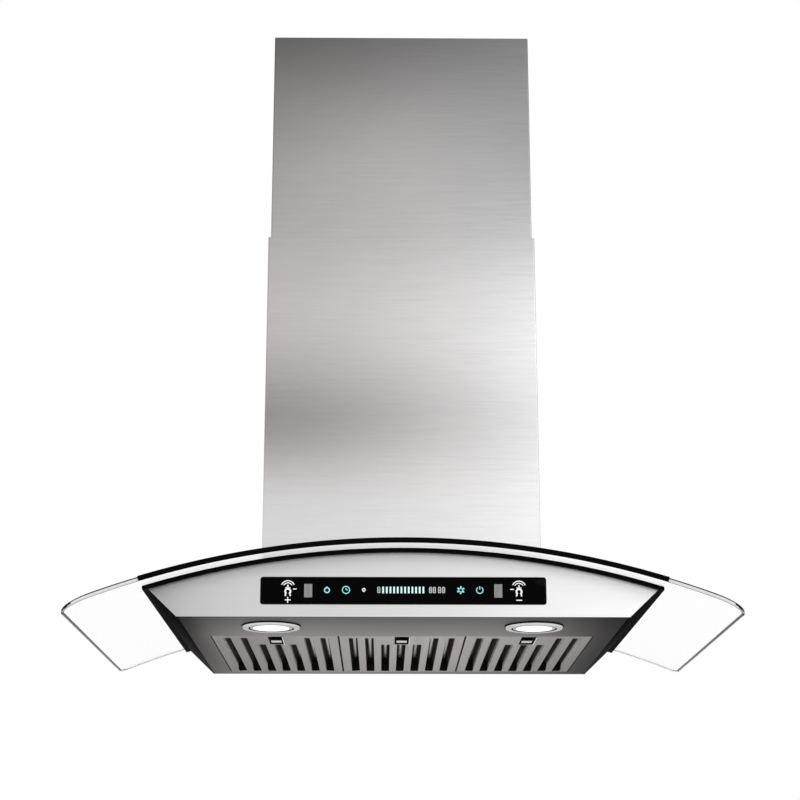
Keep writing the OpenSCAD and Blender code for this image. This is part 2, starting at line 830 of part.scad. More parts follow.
// Side view of the scroll: three quarter arcs of growing radius, then the upright outlet
module scroll_area(grow) {
    h = scroll_step / 2;
    r = scroll_r + grow;
    big = 2 * scroll_r;
    intersection() {
        translate([h, -h]) circle(r = r, $fn = 120);
        translate([h, -h]) square(big);
    }
    intersection() {
        translate([-h, -h]) circle(r = r + scroll_step, $fn = 120);
        translate([-h, -h - big]) square(big);
    }
    intersection() {
        translate([-h, h]) circle(r = r + 2 * scroll_step, $fn = 120);
        translate([-h - big, h - big]) square(big);
    }
    translate([-outlet_front - grow, -h])
        square([outlet_front + outlet_back + 2 * grow, scroll_top - fan_z + h]);
}
module at_fan() {
    translate([0, -fan_y, fan_z]) children();
}
module volute_scroll() color([0.7, 0.71, 0.72]) difference() {
    union() {
        at_fan() along_x(-scroll_side, scroll_side) scroll_area(scroll_t);
        block(
            -scroll_side - outlet_flange, scroll_side + outlet_flange,
            fan_y + outlet_front + outlet_flange, fan_y - outlet_back - outlet_flange,
            scroll_top - volute_flange_t, scroll_top
        );
    }
    at_fan() along_x(-scroll_side - over, scroll_side + over) scroll_area(0);
    block(
        -scroll_side - over, scroll_side + over,
        fan_y + outlet_front, fan_y - outlet_back, fan_z + scroll_r, scroll_top + over
    );
}
module volute_side(side) {
    inner = scroll_side + film;
    x0 = side > 0 ? inner : -inner - scroll_t;
    color([0.7, 0.71, 0.72]) difference() {
        intersection() {
            at_fan() along_x(x0, x0 + scroll_t) scroll_area(scroll_t);
            block(-box_w, box_w, box_d, 0, 0, scroll_top - volute_flange_t - film);
        }
        at_fan() along_x(x0 - over, x0 + scroll_t + over) circle(r = inlet_r, $fn = 96);
    }
}
module impeller() {
    ring_t = 2;
    blade_t = 1.2;
    blade_turn = 25;
    color([0.25, 0.25, 0.27]) at_fan() difference() {
        union() {
            for (x = [-fan_w / 2, fan_w / 2 - ring_t]) {
                along_x(x, x + ring_t) difference() {
                    circle(r = fan_r, $fn = 120);
                    circle(r = fan_r - blade_d, $fn = 120);
                }
            }
            along_x(-ring_t, 0) circle(r = fan_r, $fn = 120);
            along_x(-hub_w, 0) circle(r = hub_r);
            for (i = [0 : blade_count - 1]) {
                along_x(-fan_w / 2, fan_w / 2) rotate(i * 360 / blade_count)
                    translate([fan_r - blade_d + 1, 0]) rotate(blade_turn)
                    translate([0, -blade_t / 2]) square([blade_d - 2, blade_t]);
            }
        }
        along_x(-fan_w, fan_w) circle(r = shaft_r + film / 2);
    }
}
module motor_shaft() color("silver") at_fan() along_x(-hub_w - 4, motor_x1 - 20)
    circle(r = shaft_r);
module motor() {
    boss_end = scroll_side + film + scroll_t + grommet_t;
    color([0.3, 0.31, 0.33]) at_fan() difference() {
        union() {
            along_x(motor_x0, motor_x1) circle(r = motor_r, $fn = 96);
            along_x(motor_x1 - over, boss_end) circle(r = boss_r);
        }
        along_x(-over, motor_x1 - 18) circle(r = shaft_r + run_gap);
    }
}
module at_grommets() {
    for (turn = [90, 210, 330]) rotate([turn, 0, 0]) translate([0, grommet_ring, 0]) children();
}
module motor_bracket() {
    x0 = scroll_side + scroll_t + grommet_t + 2 * film;
    color([0.68, 0.69, 0.7]) at_fan() difference() {
        union() {
            along_x(x0, x0 + bracket_plate_t) circle(r = boss_r + 6);
            at_grommets() translate([x0, -grommet_ring, -7])
                cube([bracket_plate_t, grommet_ring + grommet_r, 14]);
        }
        at_grommets() along_x(x0 - over, x0 + bracket_plate_t + over) circle(r = 2.5);
    }
}
module motor_grommets() {
    x0 = scroll_side + scroll_t + film + film / 2;
    color([0.1, 0.1, 0.1]) at_fan() at_grommets() difference() {
        along_x(x0, x0 + grommet_t) circle(r = grommet_r);
        along_x(x0 - over, x0 + grommet_t + over) circle(r = 2.5);
    }
}

// Duct collar with its two damper flaps
module at_collar() {
    translate([0, -collar_y, 0]) children();
}
module duct_collar() color([0.2, 0.2, 0.21]) at_collar() difference() {
    union() {
        translate([0, 0, box_top]) cylinder(r = collar_r, h = collar_h, $fn = 120);
        translate([0, 0, box_top]) cylinder(r = collar_r + 8, h = 1.5, $fn = 120);
    }
    translate([0, 0, box_top + stop_t]) cylinder(r = collar_r - collar_t, h = collar_h, $fn = 120);
    translate([0, 0, box_top - over])
        cylinder(r = collar_r - collar_t - stop_w, h = collar_h, $fn = 120);
}
module damper_pin() color("silver") at_collar()
    along_x(-collar_r + collar_t + 0.1, collar_r - collar_t - 0.1)
    translate([0, pin_z]) circle(r = pin_r);
// side is -1 for the front flap and 1 for the back one; their knuckles interleave
module damper_flap(side) {
    starts = side < 0 ? front_knuckles : back_knuckles;
    low = pin_z - flap_t / 2;
    color([0.45, 0.45, 0.46]) at_collar() difference() {
        union() {
            intersection() {
                translate([0, 0, low]) cylinder(r = flap_r, h = flap_t, $fn = 120);
                translate([-collar_r, side < 0 ? -collar_r : flap_start, low])
                    cube([2 * collar_r, collar_r - flap_start, flap_t]);
            }
            for (x = starts) {
                along_x(x, x + knuckle_l) translate([0, pin_z]) circle(r = knuckle_r);
                translate([x, side < 0 ? -flap_start - over : 0, low])
                    cube([knuckle_l, flap_start + over, flap_t]);
            }
        }
        along_x(-collar_r, collar_r) translate([0, pin_z]) circle(r = pin_r + run_gap);
    }
}
module cable_gland() color([0.15, 0.15, 0.16]) translate([gland_x, -gland_y, 0]) difference() {
    union() {
        translate([0, 0, box_top + film]) cylinder(r = gland_r, h = gland_h);
        translate([0, 0, box_top + film]) cylinder(r = gland_r + 2, h = 4, $fn = 6);
        translate([0, 0, box_wall_top - 6]) cylinder(r = gland_r - 2, h = top_plate_t + 6 + 2 * film);
        translate([0, 0, box_wall_top - 5 - film]) cylinder(r = gland_r + 1, h = 5, $fn = 6);
    }
    cylinder(r = gland_bore_r, h = 2 * box_top);
}

// Power box on the underside panel, behind the touch strip
module power_block(inset, z0, z1) {
    block(
        -power_w / 2 + inset, power_w / 2 - inset,
        power_y + power_d / 2 - inset, power_y - power_d / 2 + inset, z0, z1
    );
}
module power_box() color([0.2, 0.2, 0.22]) difference() {
    power_block(0, power_z, power_z + power_h - lid_t);
    power_block(power_wall, power_z + power_wall, power_z + power_h);
}
module power_box_lid() color([0.25, 0.25, 0.27]) union() {
    power_block(0, power_z + power_h - lid_t + film, power_z + power_h);
    power_block(power_wall + 0.2, power_z + power_h - lid_t - 2, power_z + power_h - lid_t / 2);
}
module power_board() {
    z = power_z + power_wall + 4;
    color([0.1, 0.35, 0.18]) union() {
        power_block(power_wall + 1, z, z + board_t);
        for (x = [-1, 1], y = [-1, 1]) {
            translate([x * (power_w / 2 - 8), -power_y + y * (power_d / 2 - 8), z - 4 + film])
                cylinder(r = 2.5, h = 4);
        }
    }
}
module run_capacitor() {
    z = power_z + power_wall + 4 + board_t + film;
    color([0.85, 0.85, 0.82])
        block(-power_w / 2 + 15, -8, power_y + 12, power_y - 8, z, z + capacitor_h);
}
module terminal_block() {
    z = power_z + power_wall + 4 + board_t + film;
    color([0.9, 0.9, 0.88]) difference() {
        block(10, 10 + 4 * terminal_pitch, power_y + 9, power_y - 7, z, z + 14);
        for (i = [0 : 3]) {
            translate([10 + (i + 0.5) * terminal_pitch, -power_y - 1, z + 4])
                cylinder(r = 2.4, h = 14);
        }
    }
}

// Telescopic chimney: two U-shaped covers, open towards the wall
module cover_plan(w, front, back, sheet) {
    difference() {
        translate([-w / 2, -front]) square([w, front - back]);
        translate([-w / 2 + sheet, -front + sheet]) square([w - 2 * sheet, front - back - 2 * sheet]);
        translate([-w / 2 + lip_w, -back - 2 * sheet]) square([w - 2 * lip_w, 4 * sheet]);
    }
}
module at_tab_screws(out) {
    for (side = [-1, 1]) {
        translate([side * out, -(tab_front_y + tab_back_y) / 2, tab_screw_z])
            rotate([0, side * 90, 0]) children();
    }
}
module chimney_lower() color([0.75, 0.75, 0.76]) difference() {
    along_z(0, chimney_split) cover_plan(chimney_w, chimney_d, 0, chimney_t);
    along_y(chimney_d + over, -over) translate([0, arc_z])
        circle(r = glass_r + chimney_clear, $fn = 200);
    at_tab_screws(chimney_w / 2) cylinder(r = screw_r + film, h = 8, center = true);
}
module chimney_tabs() {
    inner = box_w / 2 + film;
    outer = chimney_w / 2 - chimney_t - film;
    color([0.66, 0.68, 0.7]) difference() {
        for (side = [-1, 1]) {
            x = [side * inner, side * (inner + tab_sheet), side * (outer - tab_sheet), side * outer];
            block(min(x[0], x[1]), max(x[0], x[1]), tab_front_y, tab_back_y, tab_z, tab_z + tab_h);
            block(min(x[2], x[3]), max(x[2], x[3]), tab_front_y, tab_back_y, tab_z, tab_z + tab_h);
            block(min(x[0], x[3]), max(x[0], x[3]), tab_front_y, tab_back_y, tab_z, tab_z + tab_sheet);
        }
        at_tab_screws(outer) cylinder(r = screw_r + film, h = 8, center = true);
    }
}
module chimney_glides() {
    side_x = chimney_w / 2 - chimney_t;
    front_y = chimney_d - chimney_t;
    color([0.9, 0.9, 0.88]) union() {
        for (side = [-1, 1]) {
            x = [side * side_x, side * (side_x - glide_t)];
            block(
                min(x), max(x), (chimney_d + glide_l) / 2, (chimney_d - glide_l) / 2,
                glide_z, glide_z + glide_h
            );
            block(
                side * glide_x - glide_l / 2, side * glide_x + glide_l / 2,
                front_y, front_y - glide_t, glide_z, glide_z + glide_h
            );
        }
    }
}
module at_bracket_screws(out) {
    for (side = [-1, 1]) {
        translate([side * out, -chimney_screw_y, bracket_z + bracket_h / 2])
            rotate([0, side * 90, 0]) children();
    }
}
module chimney_upper() color([0.77, 0.77, 0.78]) difference() {
    along_z(upper_bottom, chimney_top) cover_plan(upper_w, upper_front, upper_back, chimney_t);
    at_bracket_screws(upper_w / 2) cylinder(r = screw_r + film, h = 8, center = true);
}
module chimney_bracket() {
    half = upper_w / 2 - chimney_t - film;
    color([0.66, 0.68, 0.7]) difference() {
        along_z(bracket_z, bracket_z + bracket_h) union() {
            translate([-bracket_half, -bracket_t]) square([2 * bracket_half, bracket_t]);
            for (side = [-1, 1]) {
                x_leg = side > 0 ? bracket_half - bracket_t : -bracket_half;
                x_wing = side > 0 ? bracket_half - bracket_t : -half;
                x_ear = side > 0 ? half - bracket_t : -half;
                translate([x_leg, -bracket_wing_y]) square([bracket_t, bracket_wing_y]);
                translate([x_wing, -bracket_wing_y])
                    square([half - bracket_half + bracket_t, bracket_t]);
                translate([x_ear, -bracket_wing_y - bracket_ear_l])
                    square([bracket_t, bracket_ear_l + bracket_t]);
            }
        }
        for (side = [-1, 1]) {
            translate([side * bracket_hole_gap / 2, 0, bracket_z + bracket_h / 2])
                rotate([90, 0, 0]) cylinder(r = bracket_hole_r, h = 4 * bracket_t, center = true);
        }
        at_bracket_screws(half) cylinder(r = screw_r + film, h = 8, center = true);
    }
}
// A small screw along Z: its head stands on z = 0, its shank reaches down to its tip
module cover_screw(under_head) {
    translate([0, 0, film]) cylinder(r = screw_head_r, h = head_h);
    translate([0, 0, -under_head]) cylinder(r = screw_r, h = under_head + 2 * film);
}
module chimney_screws() color("silver") union() {
    at_bracket_screws(upper_w / 2) cover_screw(chimney_t + bracket_t + screw_tip);
}

module hood() {
    translate([0, 0, -wall_hole_mid]) children();
}

hood() glass_canopy();
hood() glass_front_trim();
hood() glass_gasket();
hood() glass_spacers();
hood() glass_screws();
hood() body_shell();
hood() underside_panel();
hood() back_panel();
hood() bridge_plate();
hood() touch_strip();
hood() gesture_window(-1);  // gesture_window_left
hood() gesture_window(1);  // gesture_window_right
hood() strip_carrier();
hood() control_board();
hood() lamp_bezel(-1);  // lamp_bezel_left
hood() lamp_bezel(1);  // lamp_bezel_right
hood() lamp_lens(-1);  // lamp_lens_left
hood() lamp_lens(1);  // lamp_lens_right
hood() lamp_body(-1);  // lamp_body_left
hood() lamp_body(1);  // lamp_body_right
hood() lamp_clips();
hood() at_filter(-1) filter_tray();  // filter_tray_left
hood() at_filter(0) filter_tray();  // filter_tray_centre
hood() at_filter(1) filter_tray();  // filter_tray_right
hood() at_filter(-1) filter_baffles();  // filter_baffles_left
hood() at_filter(0) filter_baffles();  // filter_baffles_centre
hood() at_filter(1) filter_baffles();  // filter_baffles_right
hood() at_filter(-1) latch();  // latch_left
hood() at_filter(0) latch();  // latch_centre
hood() at_filter(1) latch();  // latch_right
hood() at_filter(-1) latch_spring();  // latch_spring_left
hood() at_filter(0) latch_spring();  // latch_spring_centre
hood() at_filter(1) latch_spring();  // latch_spring_right
hood() blower_box();
hood() blower_top_plate();
hood() body_screws();
hood() volute_scroll();
hood() volute_side(-1);  // volute_side_left
hood() volute_side(1);  // volute_side_right
hood() impeller();
hood() motor_shaft();
hood() motor();
hood() motor_bracket();
hood() motor_grommets();
hood() duct_collar();
hood() damper_pin();
hood() damper_flap(-1);  // damper_flap_front
hood() damper_flap(1);  // damper_flap_back
hood() cable_gland();
hood() power_box();
hood() power_box_lid();
hood() power_board();
hood() run_capacitor();
hood() terminal_block();
hood() chimney_lower();
hood() chimney_tabs();
hood() chimney_glides();
hood() chimney_upper();
hood() chimney_bracket();
hood() chimney_screws();
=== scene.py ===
import json
import math

import bmesh
import bpy
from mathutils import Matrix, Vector

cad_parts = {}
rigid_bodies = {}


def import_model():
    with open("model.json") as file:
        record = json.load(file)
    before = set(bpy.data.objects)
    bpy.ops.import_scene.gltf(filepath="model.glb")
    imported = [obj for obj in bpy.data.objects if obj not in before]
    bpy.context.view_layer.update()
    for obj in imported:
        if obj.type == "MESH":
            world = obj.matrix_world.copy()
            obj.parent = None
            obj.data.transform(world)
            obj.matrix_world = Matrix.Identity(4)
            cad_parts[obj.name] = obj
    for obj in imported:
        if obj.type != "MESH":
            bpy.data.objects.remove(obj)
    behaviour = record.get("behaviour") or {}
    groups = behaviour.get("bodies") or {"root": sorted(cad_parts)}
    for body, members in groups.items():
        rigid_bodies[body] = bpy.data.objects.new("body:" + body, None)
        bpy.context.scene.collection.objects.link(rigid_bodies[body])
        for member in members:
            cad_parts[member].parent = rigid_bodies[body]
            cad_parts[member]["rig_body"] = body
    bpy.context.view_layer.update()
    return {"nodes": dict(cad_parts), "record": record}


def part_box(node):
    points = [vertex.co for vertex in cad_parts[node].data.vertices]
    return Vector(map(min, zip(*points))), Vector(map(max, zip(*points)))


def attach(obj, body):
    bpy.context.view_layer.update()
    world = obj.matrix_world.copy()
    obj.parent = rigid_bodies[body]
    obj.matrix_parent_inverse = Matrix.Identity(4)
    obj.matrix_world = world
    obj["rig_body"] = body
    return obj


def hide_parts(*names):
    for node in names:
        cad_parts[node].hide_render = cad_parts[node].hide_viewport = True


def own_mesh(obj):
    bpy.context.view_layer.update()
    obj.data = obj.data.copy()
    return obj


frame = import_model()

MM = 0.001
SIDES = ("left", "right")
FILTERS = ("left", "centre", "right")

# Places that the frame gives
glass_low, glass_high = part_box("glass_canopy")
body_low, body_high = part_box("body_shell")
strip_low, strip_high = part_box("touch_strip")
lower_low, lower_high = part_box("chimney_lower")
upper_low, upper_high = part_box("chimney_upper")
tray_low, tray_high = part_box("filter_tray_centre")
box_low, box_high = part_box("blower_box")
tray_row_low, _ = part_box("filter_tray_left")
gasket_low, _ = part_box("glass_gasket")

# The arch that the glass, the gasket and the top of the body share, about one axis along Y, and the
# rounded corners of the glass
GLASS_R = 984 * MM
GLASS_T = 5 * MM
FRONT_CORNER_R = 36 * MM
BACK_CORNER_R = 12 * MM
arch_z = glass_high.z - GLASS_R

# The filters: half the width of their row, the spacing of their slots, and how far back the painted pale
# tone of the slots' upturned walls and the painted highlights on the baffle crowns reach. The painted end
# of a wall
# is rounded: it lies further forward by the bend times the square of its height.
FILTER_ROW_HALF = 225 * MM
SLOT_PITCH = 19.3 * MM
SLOT_WALL_END = -51 * MM
SLOT_WALL_BEND = -160.0
HIGHLIGHT_START = -205 * MM
HIGHLIGHT_END = -32 * MM


# Modelling by hand: select in code, then use the ordinary operators

def deselect_all():
    active = bpy.context.view_layer.objects.active
    if active is not None and active.mode != "OBJECT":
        bpy.ops.object.mode_set(mode="OBJECT")
    bpy.ops.object.select_all(action="DESELECT")


def pick(*objects):
    """Select these objects alone; the first one is the active one."""
    deselect_all()
    for obj in objects:
        obj.select_set(True)
    bpy.context.view_layer.objects.active = objects[0]


def settle(obj):
    """Put the object's place, turn and scale into its mesh."""
    pick(obj)
    bpy.ops.object.transform_apply(location=True, rotation=True, scale=True)
    return obj


def open_mesh(obj, kind="FACE"):
    """Go into edit mode with nothing selected."""
    pick(obj)
    bpy.ops.object.mode_set(mode="EDIT")
    bpy.ops.mesh.select_mode(type=kind)
    bpy.ops.mesh.select_all(action="DESELECT")


def close_mesh():
    bpy.ops.object.mode_set(mode="OBJECT")


def select_faces(obj, test):
    """In edit mode, select the faces whose middle and normal pass the test."""
    mesh = bmesh.from_edit_mesh(obj.data)
    for face in mesh.faces:
        face.select_set(bool(test(face.calc_center_median(), face.normal)))
    bmesh.update_edit_mesh(obj.data)


def select_edges(obj, test):
    """In edit mode, select the edges whose two ends pass the test."""
    mesh = bmesh.from_edit_mesh(obj.data)
    for edge in mesh.edges:
        edge.select_set(bool(test(edge.verts[0].co, edge.verts[1].co)))
    bmesh.update_edit_mesh(obj.data)


def near(value, place):
    return abs(value - place) < 0.01 * MM


def apply_modifiers(obj):
    pick(obj)
    for modifier in list(obj.modifiers):
        bpy.ops.object.modifier_apply(modifier=modifier.name)
    return obj


def smooth(obj, angle=30):
    pick(obj)
    bpy.ops.object.shade_smooth_by_angle(angle=math.radians(angle))
    return obj


def soften(obj, width, segments=2, angle=35, band=-1, clamp=True):
    """Round the edges that are sharper than the angle; band is the material of the new faces."""
    bevel = obj.modifiers.new("softened edges", "BEVEL")
    bevel.width = width
    bevel.segments = segments
    bevel.limit_method = "ANGLE"
    bevel.angle_limit = math.radians(angle)
    bevel.material = band
    bevel.use_clamp_overlap = clamp
    apply_modifiers(obj)
    smooth(obj)
    return keep_faces_flat(obj)


def keep_faces_flat(obj):
    """Let the large faces set the shading, so that only the small round edges look round."""
    shading = obj.modifiers.new("face shading", "WEIGHTED_NORMAL")
    shading.mode = "FACE_AREA"
    shading.weight = 100
    shading.keep_sharp = True
    return apply_modifiers(obj)


def carve(obj, tool, operation="DIFFERENCE"):
    """Cut the tool out of the object, or keep what they share, and delete the tool."""
    cut = obj.modifiers.new("cut", "BOOLEAN")
    cut.operation = operation
    cut.solver = "EXACT"
    cut.object = tool
    apply_modifiers(obj)
    bpy.data.objects.remove(tool)
    return obj


def merge(obj, distance=0.01 * MM):
    open_mesh(obj, "VERT")
    bpy.ops.mesh.select_all(action="SELECT")
    bpy.ops.mesh.remove_doubles(threshold=distance)
    close_mesh()
    return obj


def face_outwards(obj):
    open_mesh(obj)
    bpy.ops.mesh.select_all(action="SELECT")
    bpy.ops.mesh.normals_make_consistent(inside=False)
    close_mesh()
    return obj


def round_edges(obj, test, offset, segments, **settings):
    """Bevel the edges whose two ends pass the test."""
    open_mesh(obj, "EDGE")
    select_edges(obj, test)
    bpy.ops.mesh.bevel(offset=offset, segments=segments, affect="EDGES", **settings)
    close_mesh()


def split(obj, place, across):
    """Add edges where a plane through the place cuts the piece, so that finishes can meet there."""
    open_mesh(obj)
    bpy.ops.mesh.select_all(action="SELECT")
    bpy.ops.mesh.bisect(plane_co=place, plane_no=across)
    close_mesh()


def join(name, pieces):
    pick(*pieces)
    if len(pieces) > 1:
        bpy.ops.object.join()
    joined = bpy.context.view_layer.objects.active
    joined.name = name
    return joined


def block(name, low, high):
    """A block between two corners."""
    low, high = Vector(low), Vector(high)
    deselect_all()
    bpy.ops.mesh.primitive_cube_add(size=1, location=(low + high) / 2)
    obj = bpy.context.object
    obj.name = name
    obj.scale = high - low
    return settle(obj)


TURNS = {"Y": (math.pi / 2, 0, 0), "Z": (0, 0, 0)}


def rod(name, middle, radius, length, axis="Z", sides=48):
    deselect_all()
    bpy.ops.mesh.primitive_cylinder_add(
        vertices=sides, radius=radius, depth=length, location=middle, rotation=TURNS[axis]
    )
    obj = bpy.context.object
    obj.name = name
    return settle(obj)


def swept_bar(name, centre_x, centre_z, outer, inner, front, back, start, sweep, steps):
    """A bar bent about an axis along Y. Angles run from upright towards +X, in degrees."""
    middle = (outer + inner) / 2
    angle = math.radians(start)
    deselect_all()
    bpy.ops.mesh.primitive_plane_add(
        size=1,
        location=(
            centre_x + middle * math.sin(angle), (front + back) / 2,
            centre_z + middle * math.cos(angle),
        ),
        rotation=(0, angle + math.pi / 2, 0),
    )
    obj = bpy.context.object
    obj.name = name
    obj.scale = (outer - inner, back - front, 1)
    settle(obj)
    open_mesh(obj)
    bpy.ops.mesh.select_all(action="SELECT")
    bpy.ops.mesh.spin(
        steps=steps, angle=-math.radians(sweep), center=(centre_x, 0, centre_z), axis=(0, 1, 0)
    )
    close_mesh()
    return face_outwards(merge(obj, 0.001 * MM))


def turned(name, centre, profile, steps=64):
    """A ring or disc turned about an upright axis; the profile is a list of (radius, height)."""
    deselect_all()
    mesh = bpy.data.meshes.new(name)
    points = [(centre.x + radius, centre.y, centre.z + height) for radius, height in profile]
    loop = [(i, (i + 1) % len(points)) for i in range(len(points))]
    closed = all(radius > 0 for radius, _ in profile)
    mesh.from_pydata(points, loop if closed else loop[:-1], [])
    obj = bpy.data.objects.new(name, mesh)
    bpy.context.scene.collection.objects.link(obj)
    open_mesh(obj, "VERT")
    bpy.ops.mesh.select_all(action="SELECT")
    bpy.ops.mesh.spin(
        steps=steps, angle=2 * math.pi, center=(centre.x, centre.y, 0), axis=(0, 0, 1)
    )
    close_mesh()
    return smooth(face_outwards(merge(obj, 0.001 * MM)))


def copy_of(name, node, whole_faces=True):
    """A merged copy of a CAD node, to be finished by hand; flat areas become whole faces."""
    source = frame["nodes"][node]
    mesh = source.data.copy()
    mesh.materials.clear()
    obj = bpy.data.objects.new(name, mesh)
    bpy.context.scene.collection.objects.link(obj)
    merge(obj)
    if whole_faces:
        open_mesh(obj)
        bpy.ops.mesh.select_all(action="SELECT")
        bpy.ops.mesh.dissolve_limited(angle_limit=math.radians(0.1))
        close_mesh()
    return obj


def set_finishes(obj, *finishes):
    obj.data.materials.clear()
    for finish in finishes:
        obj.data.materials.append(finish)
    return obj


def paint_faces(obj, index, test):
    """Give the faces that pass the test the material with this index."""
    open_mesh(obj)
    select_faces(obj, test)
    obj.active_material_index = index
    bpy.ops.object.material_slot_assign()
    close_mesh()
    return obj


def hand_over(obj, body, slot, *nodes):
    """The finished piece rides on its body and stands for its CAD nodes."""
    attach(obj, body)
    if nodes:
        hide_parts(*nodes)


# Finishes: each one is a procedural material that reads Object coordinates

def new_finish(name, colour, metal=0.0, rough=0.5, **sockets):
    finish = bpy.data.materials.new(name)
    finish.use_nodes = True
    shader = finish.node_tree.nodes["Principled BSDF"]
    shader.inputs["Base Color"].default_value = (*colour, 1)
    shader.inputs["Metallic"].default_value = metal
    shader.inputs["Roughness"].default_value = rough
    for socket, value in sockets.items():
        shader.inputs[socket.replace("_", " ")].default_value = value
    return finish


def add(finish, kind, inputs, **settings):
    """Add a node, wire or set its inputs, and return its first output."""
    tree = finish.node_tree
    made = tree.nodes.new("ShaderNode" + kind)
    for key, value in settings.items():
        setattr(made, key, value)
    for key, value in inputs.items():
        if isinstance(value, bpy.types.NodeSocket):
            tree.links.new(value, made.inputs[key])
        else:
            made.inputs[key].default_value = value
    return made.outputs[0]


def wire(finish, output, socket):
    shader = finish.node_tree.nodes["Principled BSDF"]
    finish.node_tree.links.new(output, shader.inputs[socket])


def object_place(finish):
    place = finish.node_tree.nodes.new("ShaderNodeTexCoord")
    return place.outputs["Object"]


def noise(finish, stretch, detail=3.0, rough=0.5):
    """Noise in object space, stretched by a different count of features per metre on each axis."""
    spread = add(finish, "Mapping", {"Vector": object_place(finish), "Scale": stretch})
    return add(
        finish, "TexNoise",
        {"Vector": spread, "Scale": 1.0, "Detail": detail, "Roughness": rough},
    )


def spread_to(finish, value, low, high, from_low=0.3, from_high=0.7, **settings):
    """The value taken from one range to another, low to high; most of a noise lies in 0.3 to 0.7."""
    return add(finish, "MapRange", {
        "Value": value, "From Min": from_low, "From Max": from_high, "To Min": low, "To Max": high,
    }, **settings)


def times(finish, first, second):
    return add(finish, "Math", {0: first, 1: second}, operation="MULTIPLY")


def plus(finish, first, second):
    return add(finish, "Math", {0: first, 1: second}, operation="ADD")


def mixed(finish, factor, first, second):
    """A blend of two values by a factor from 0 to 1."""
    return spread_to(finish, factor, first, second, 0.0, 1.0)


def ramp(finish, value, low, high, stops):
    """A tone for each place between low and high; stops are (share of the way, tone)."""
    share = spread_to(finish, value, 0.0, 1.0, low, high)
    tree = finish.node_tree
    made = tree.nodes.new("ShaderNodeValToRGB")
    tree.links.new(share, made.inputs["Fac"])
    made.color_ramp.interpolation = "B_SPLINE"
    elements = made.color_ramp.elements
    while len(elements) > 1:
        elements.remove(elements[-1])
    for number, (place, tone) in enumerate(stops):
        stop = elements[0] if number == 0 else elements.new(place)
        stop.position = place
        stop.color = (tone, tone, tone, 1)
    return made.outputs["Color"]


def place_axes(finish):
    parts = add(finish, "SeparateXYZ", {"Vector": object_place(finish)}).node
    return parts.outputs["X"], parts.outputs["Y"], parts.outputs["Z"]


def tinted(finish, tone, tint):
    """A grey tone turned into a colour by a tint."""
    return add(finish, "VectorMath", {0: tint, "Scale": tone}, operation="SCALE")


def bump(finish, height, strength, distance):
    wire(finish, add(
        finish, "Bump", {"Height": height, "Strength": strength, "Distance": distance}
    ), "Normal")


# Light that steel throws back along its surface, as a share of what clean metal does
EDGE_DARK = (0.3, 0.3, 0.3, 1)

# Tints of the steel, and how many grain lines there are per metre along each axis
WARM = (1.0, 0.945, 0.935)
NEUTRAL = (1.0, 1.0, 1.0)
ACROSS = (5.0, 5.0, 1500.0)
FINE_ACROSS = (20.0, 20.0, 1000.0)
ACROSS_FLAT = (5.0, 1500.0, 5.0)
LENGTHWISE = (1500.0, 5.0, 5.0)


def brushed(finish, tone, tint, grain_run, rough=0.3, contrast=0.05):
    """Brushed steel: a tone with fine parallel grain and faint clouds in colour and gloss."""
    grain = noise(finish, grain_run, detail=4.0, rough=0.7)
    clouds = noise(finish, (7.0, 7.0, 7.0), detail=2.0)
    lit = times(finish, tone, spread_to(finish, grain, 1 - contrast, 1 + contrast))
    lit = times(finish, lit, spread_to(finish, clouds, 0.985, 1.015))
    wire(finish, tinted(finish, lit, tint), "Base Color")
    wire(finish, spread_to(finish, grain, rough - 0.04, rough + 0.08), "Roughness")
    bump(finish, grain, 0.12, 0.02 * MM)
    return finish


def across_chimney(finish, x):
    """0 at the left edge of the chimney and 1 at its right edge."""
    return spread_to(finish, x, 0.0, 1.0, lower_low.x, lower_high.x)


def chimney_painted_reflection(finish):
    """Painted reflection on the chimney covers: dark at the upper left, a soft band, bright at the lower
    right.
    """
    x, _, z = place_axes(finish)
    low, high = upper_high.z, lower_low.z
    left = ramp(finish, z, low, high, [
        (0.0, 0.09), (0.2, 0.33), (0.34, 0.38), (0.45, 0.48), (0.55, 0.52), (0.64, 0.38),
        (0.71, 0.26), (0.77, 0.4), (0.83, 0.6), (0.9, 0.66), (1.0, 0.66),
    ])
    right = ramp(finish, z, low, high, [
        (0.0, 0.18), (0.12, 0.29), (0.25, 0.34), (0.37, 0.48), (0.46, 0.66), (0.55, 0.78),
        (0.62, 0.78), (0.7, 0.68), (0.78, 0.76), (0.86, 0.84), (1.0, 0.85),
    ])
    middle = ramp(finish, z, low, high, [(0.0, 0.0), (0.2, 0.32), (0.36, 0.06), (0.5, 0.0)])
    across = across_chimney(finish, x)
    arched = add(finish, "Math", {0: times(finish, across, math.pi)}, operation="SINE")
    tone = mixed(finish, add(finish, "Math", {0: across, 1: 1.4}, operation="POWER"), left, right)
    return times(finish, tone, plus(finish, times(finish, middle, arched), 1.0))


def chimney_tint(finish):
    """Tint of the chimney covers: warm at the left, neutral at the right and at the foot, where the
    painted reflection is bright.
    """
    x, _, z = place_axes(finish)
    foot_low, foot_high = glass_high.z + 95 * MM, glass_high.z + 135 * MM
    foot = spread_to(finish, z, 1.0, 0.0, foot_low, foot_high)
    neutral = add(finish, "Math", {0: across_chimney(finish, x), 1: foot}, operation="MAXIMUM")
    return add(finish, "CombineXYZ", {
        "X": 1.0, "Y": mixed(finish, neutral, WARM[1], 1.0), "Z": mixed(finish, neutral, WARM[2], 1.0),
    })


def make_chimney_steel():
    finish = new_finish("chimney_steel", (0.6, 0.6, 0.6), metal=1.0, rough=0.32)
    return brushed(finish, chimney_painted_reflection(finish), chimney_tint(finish), FINE_ACROSS, contrast=0.035)


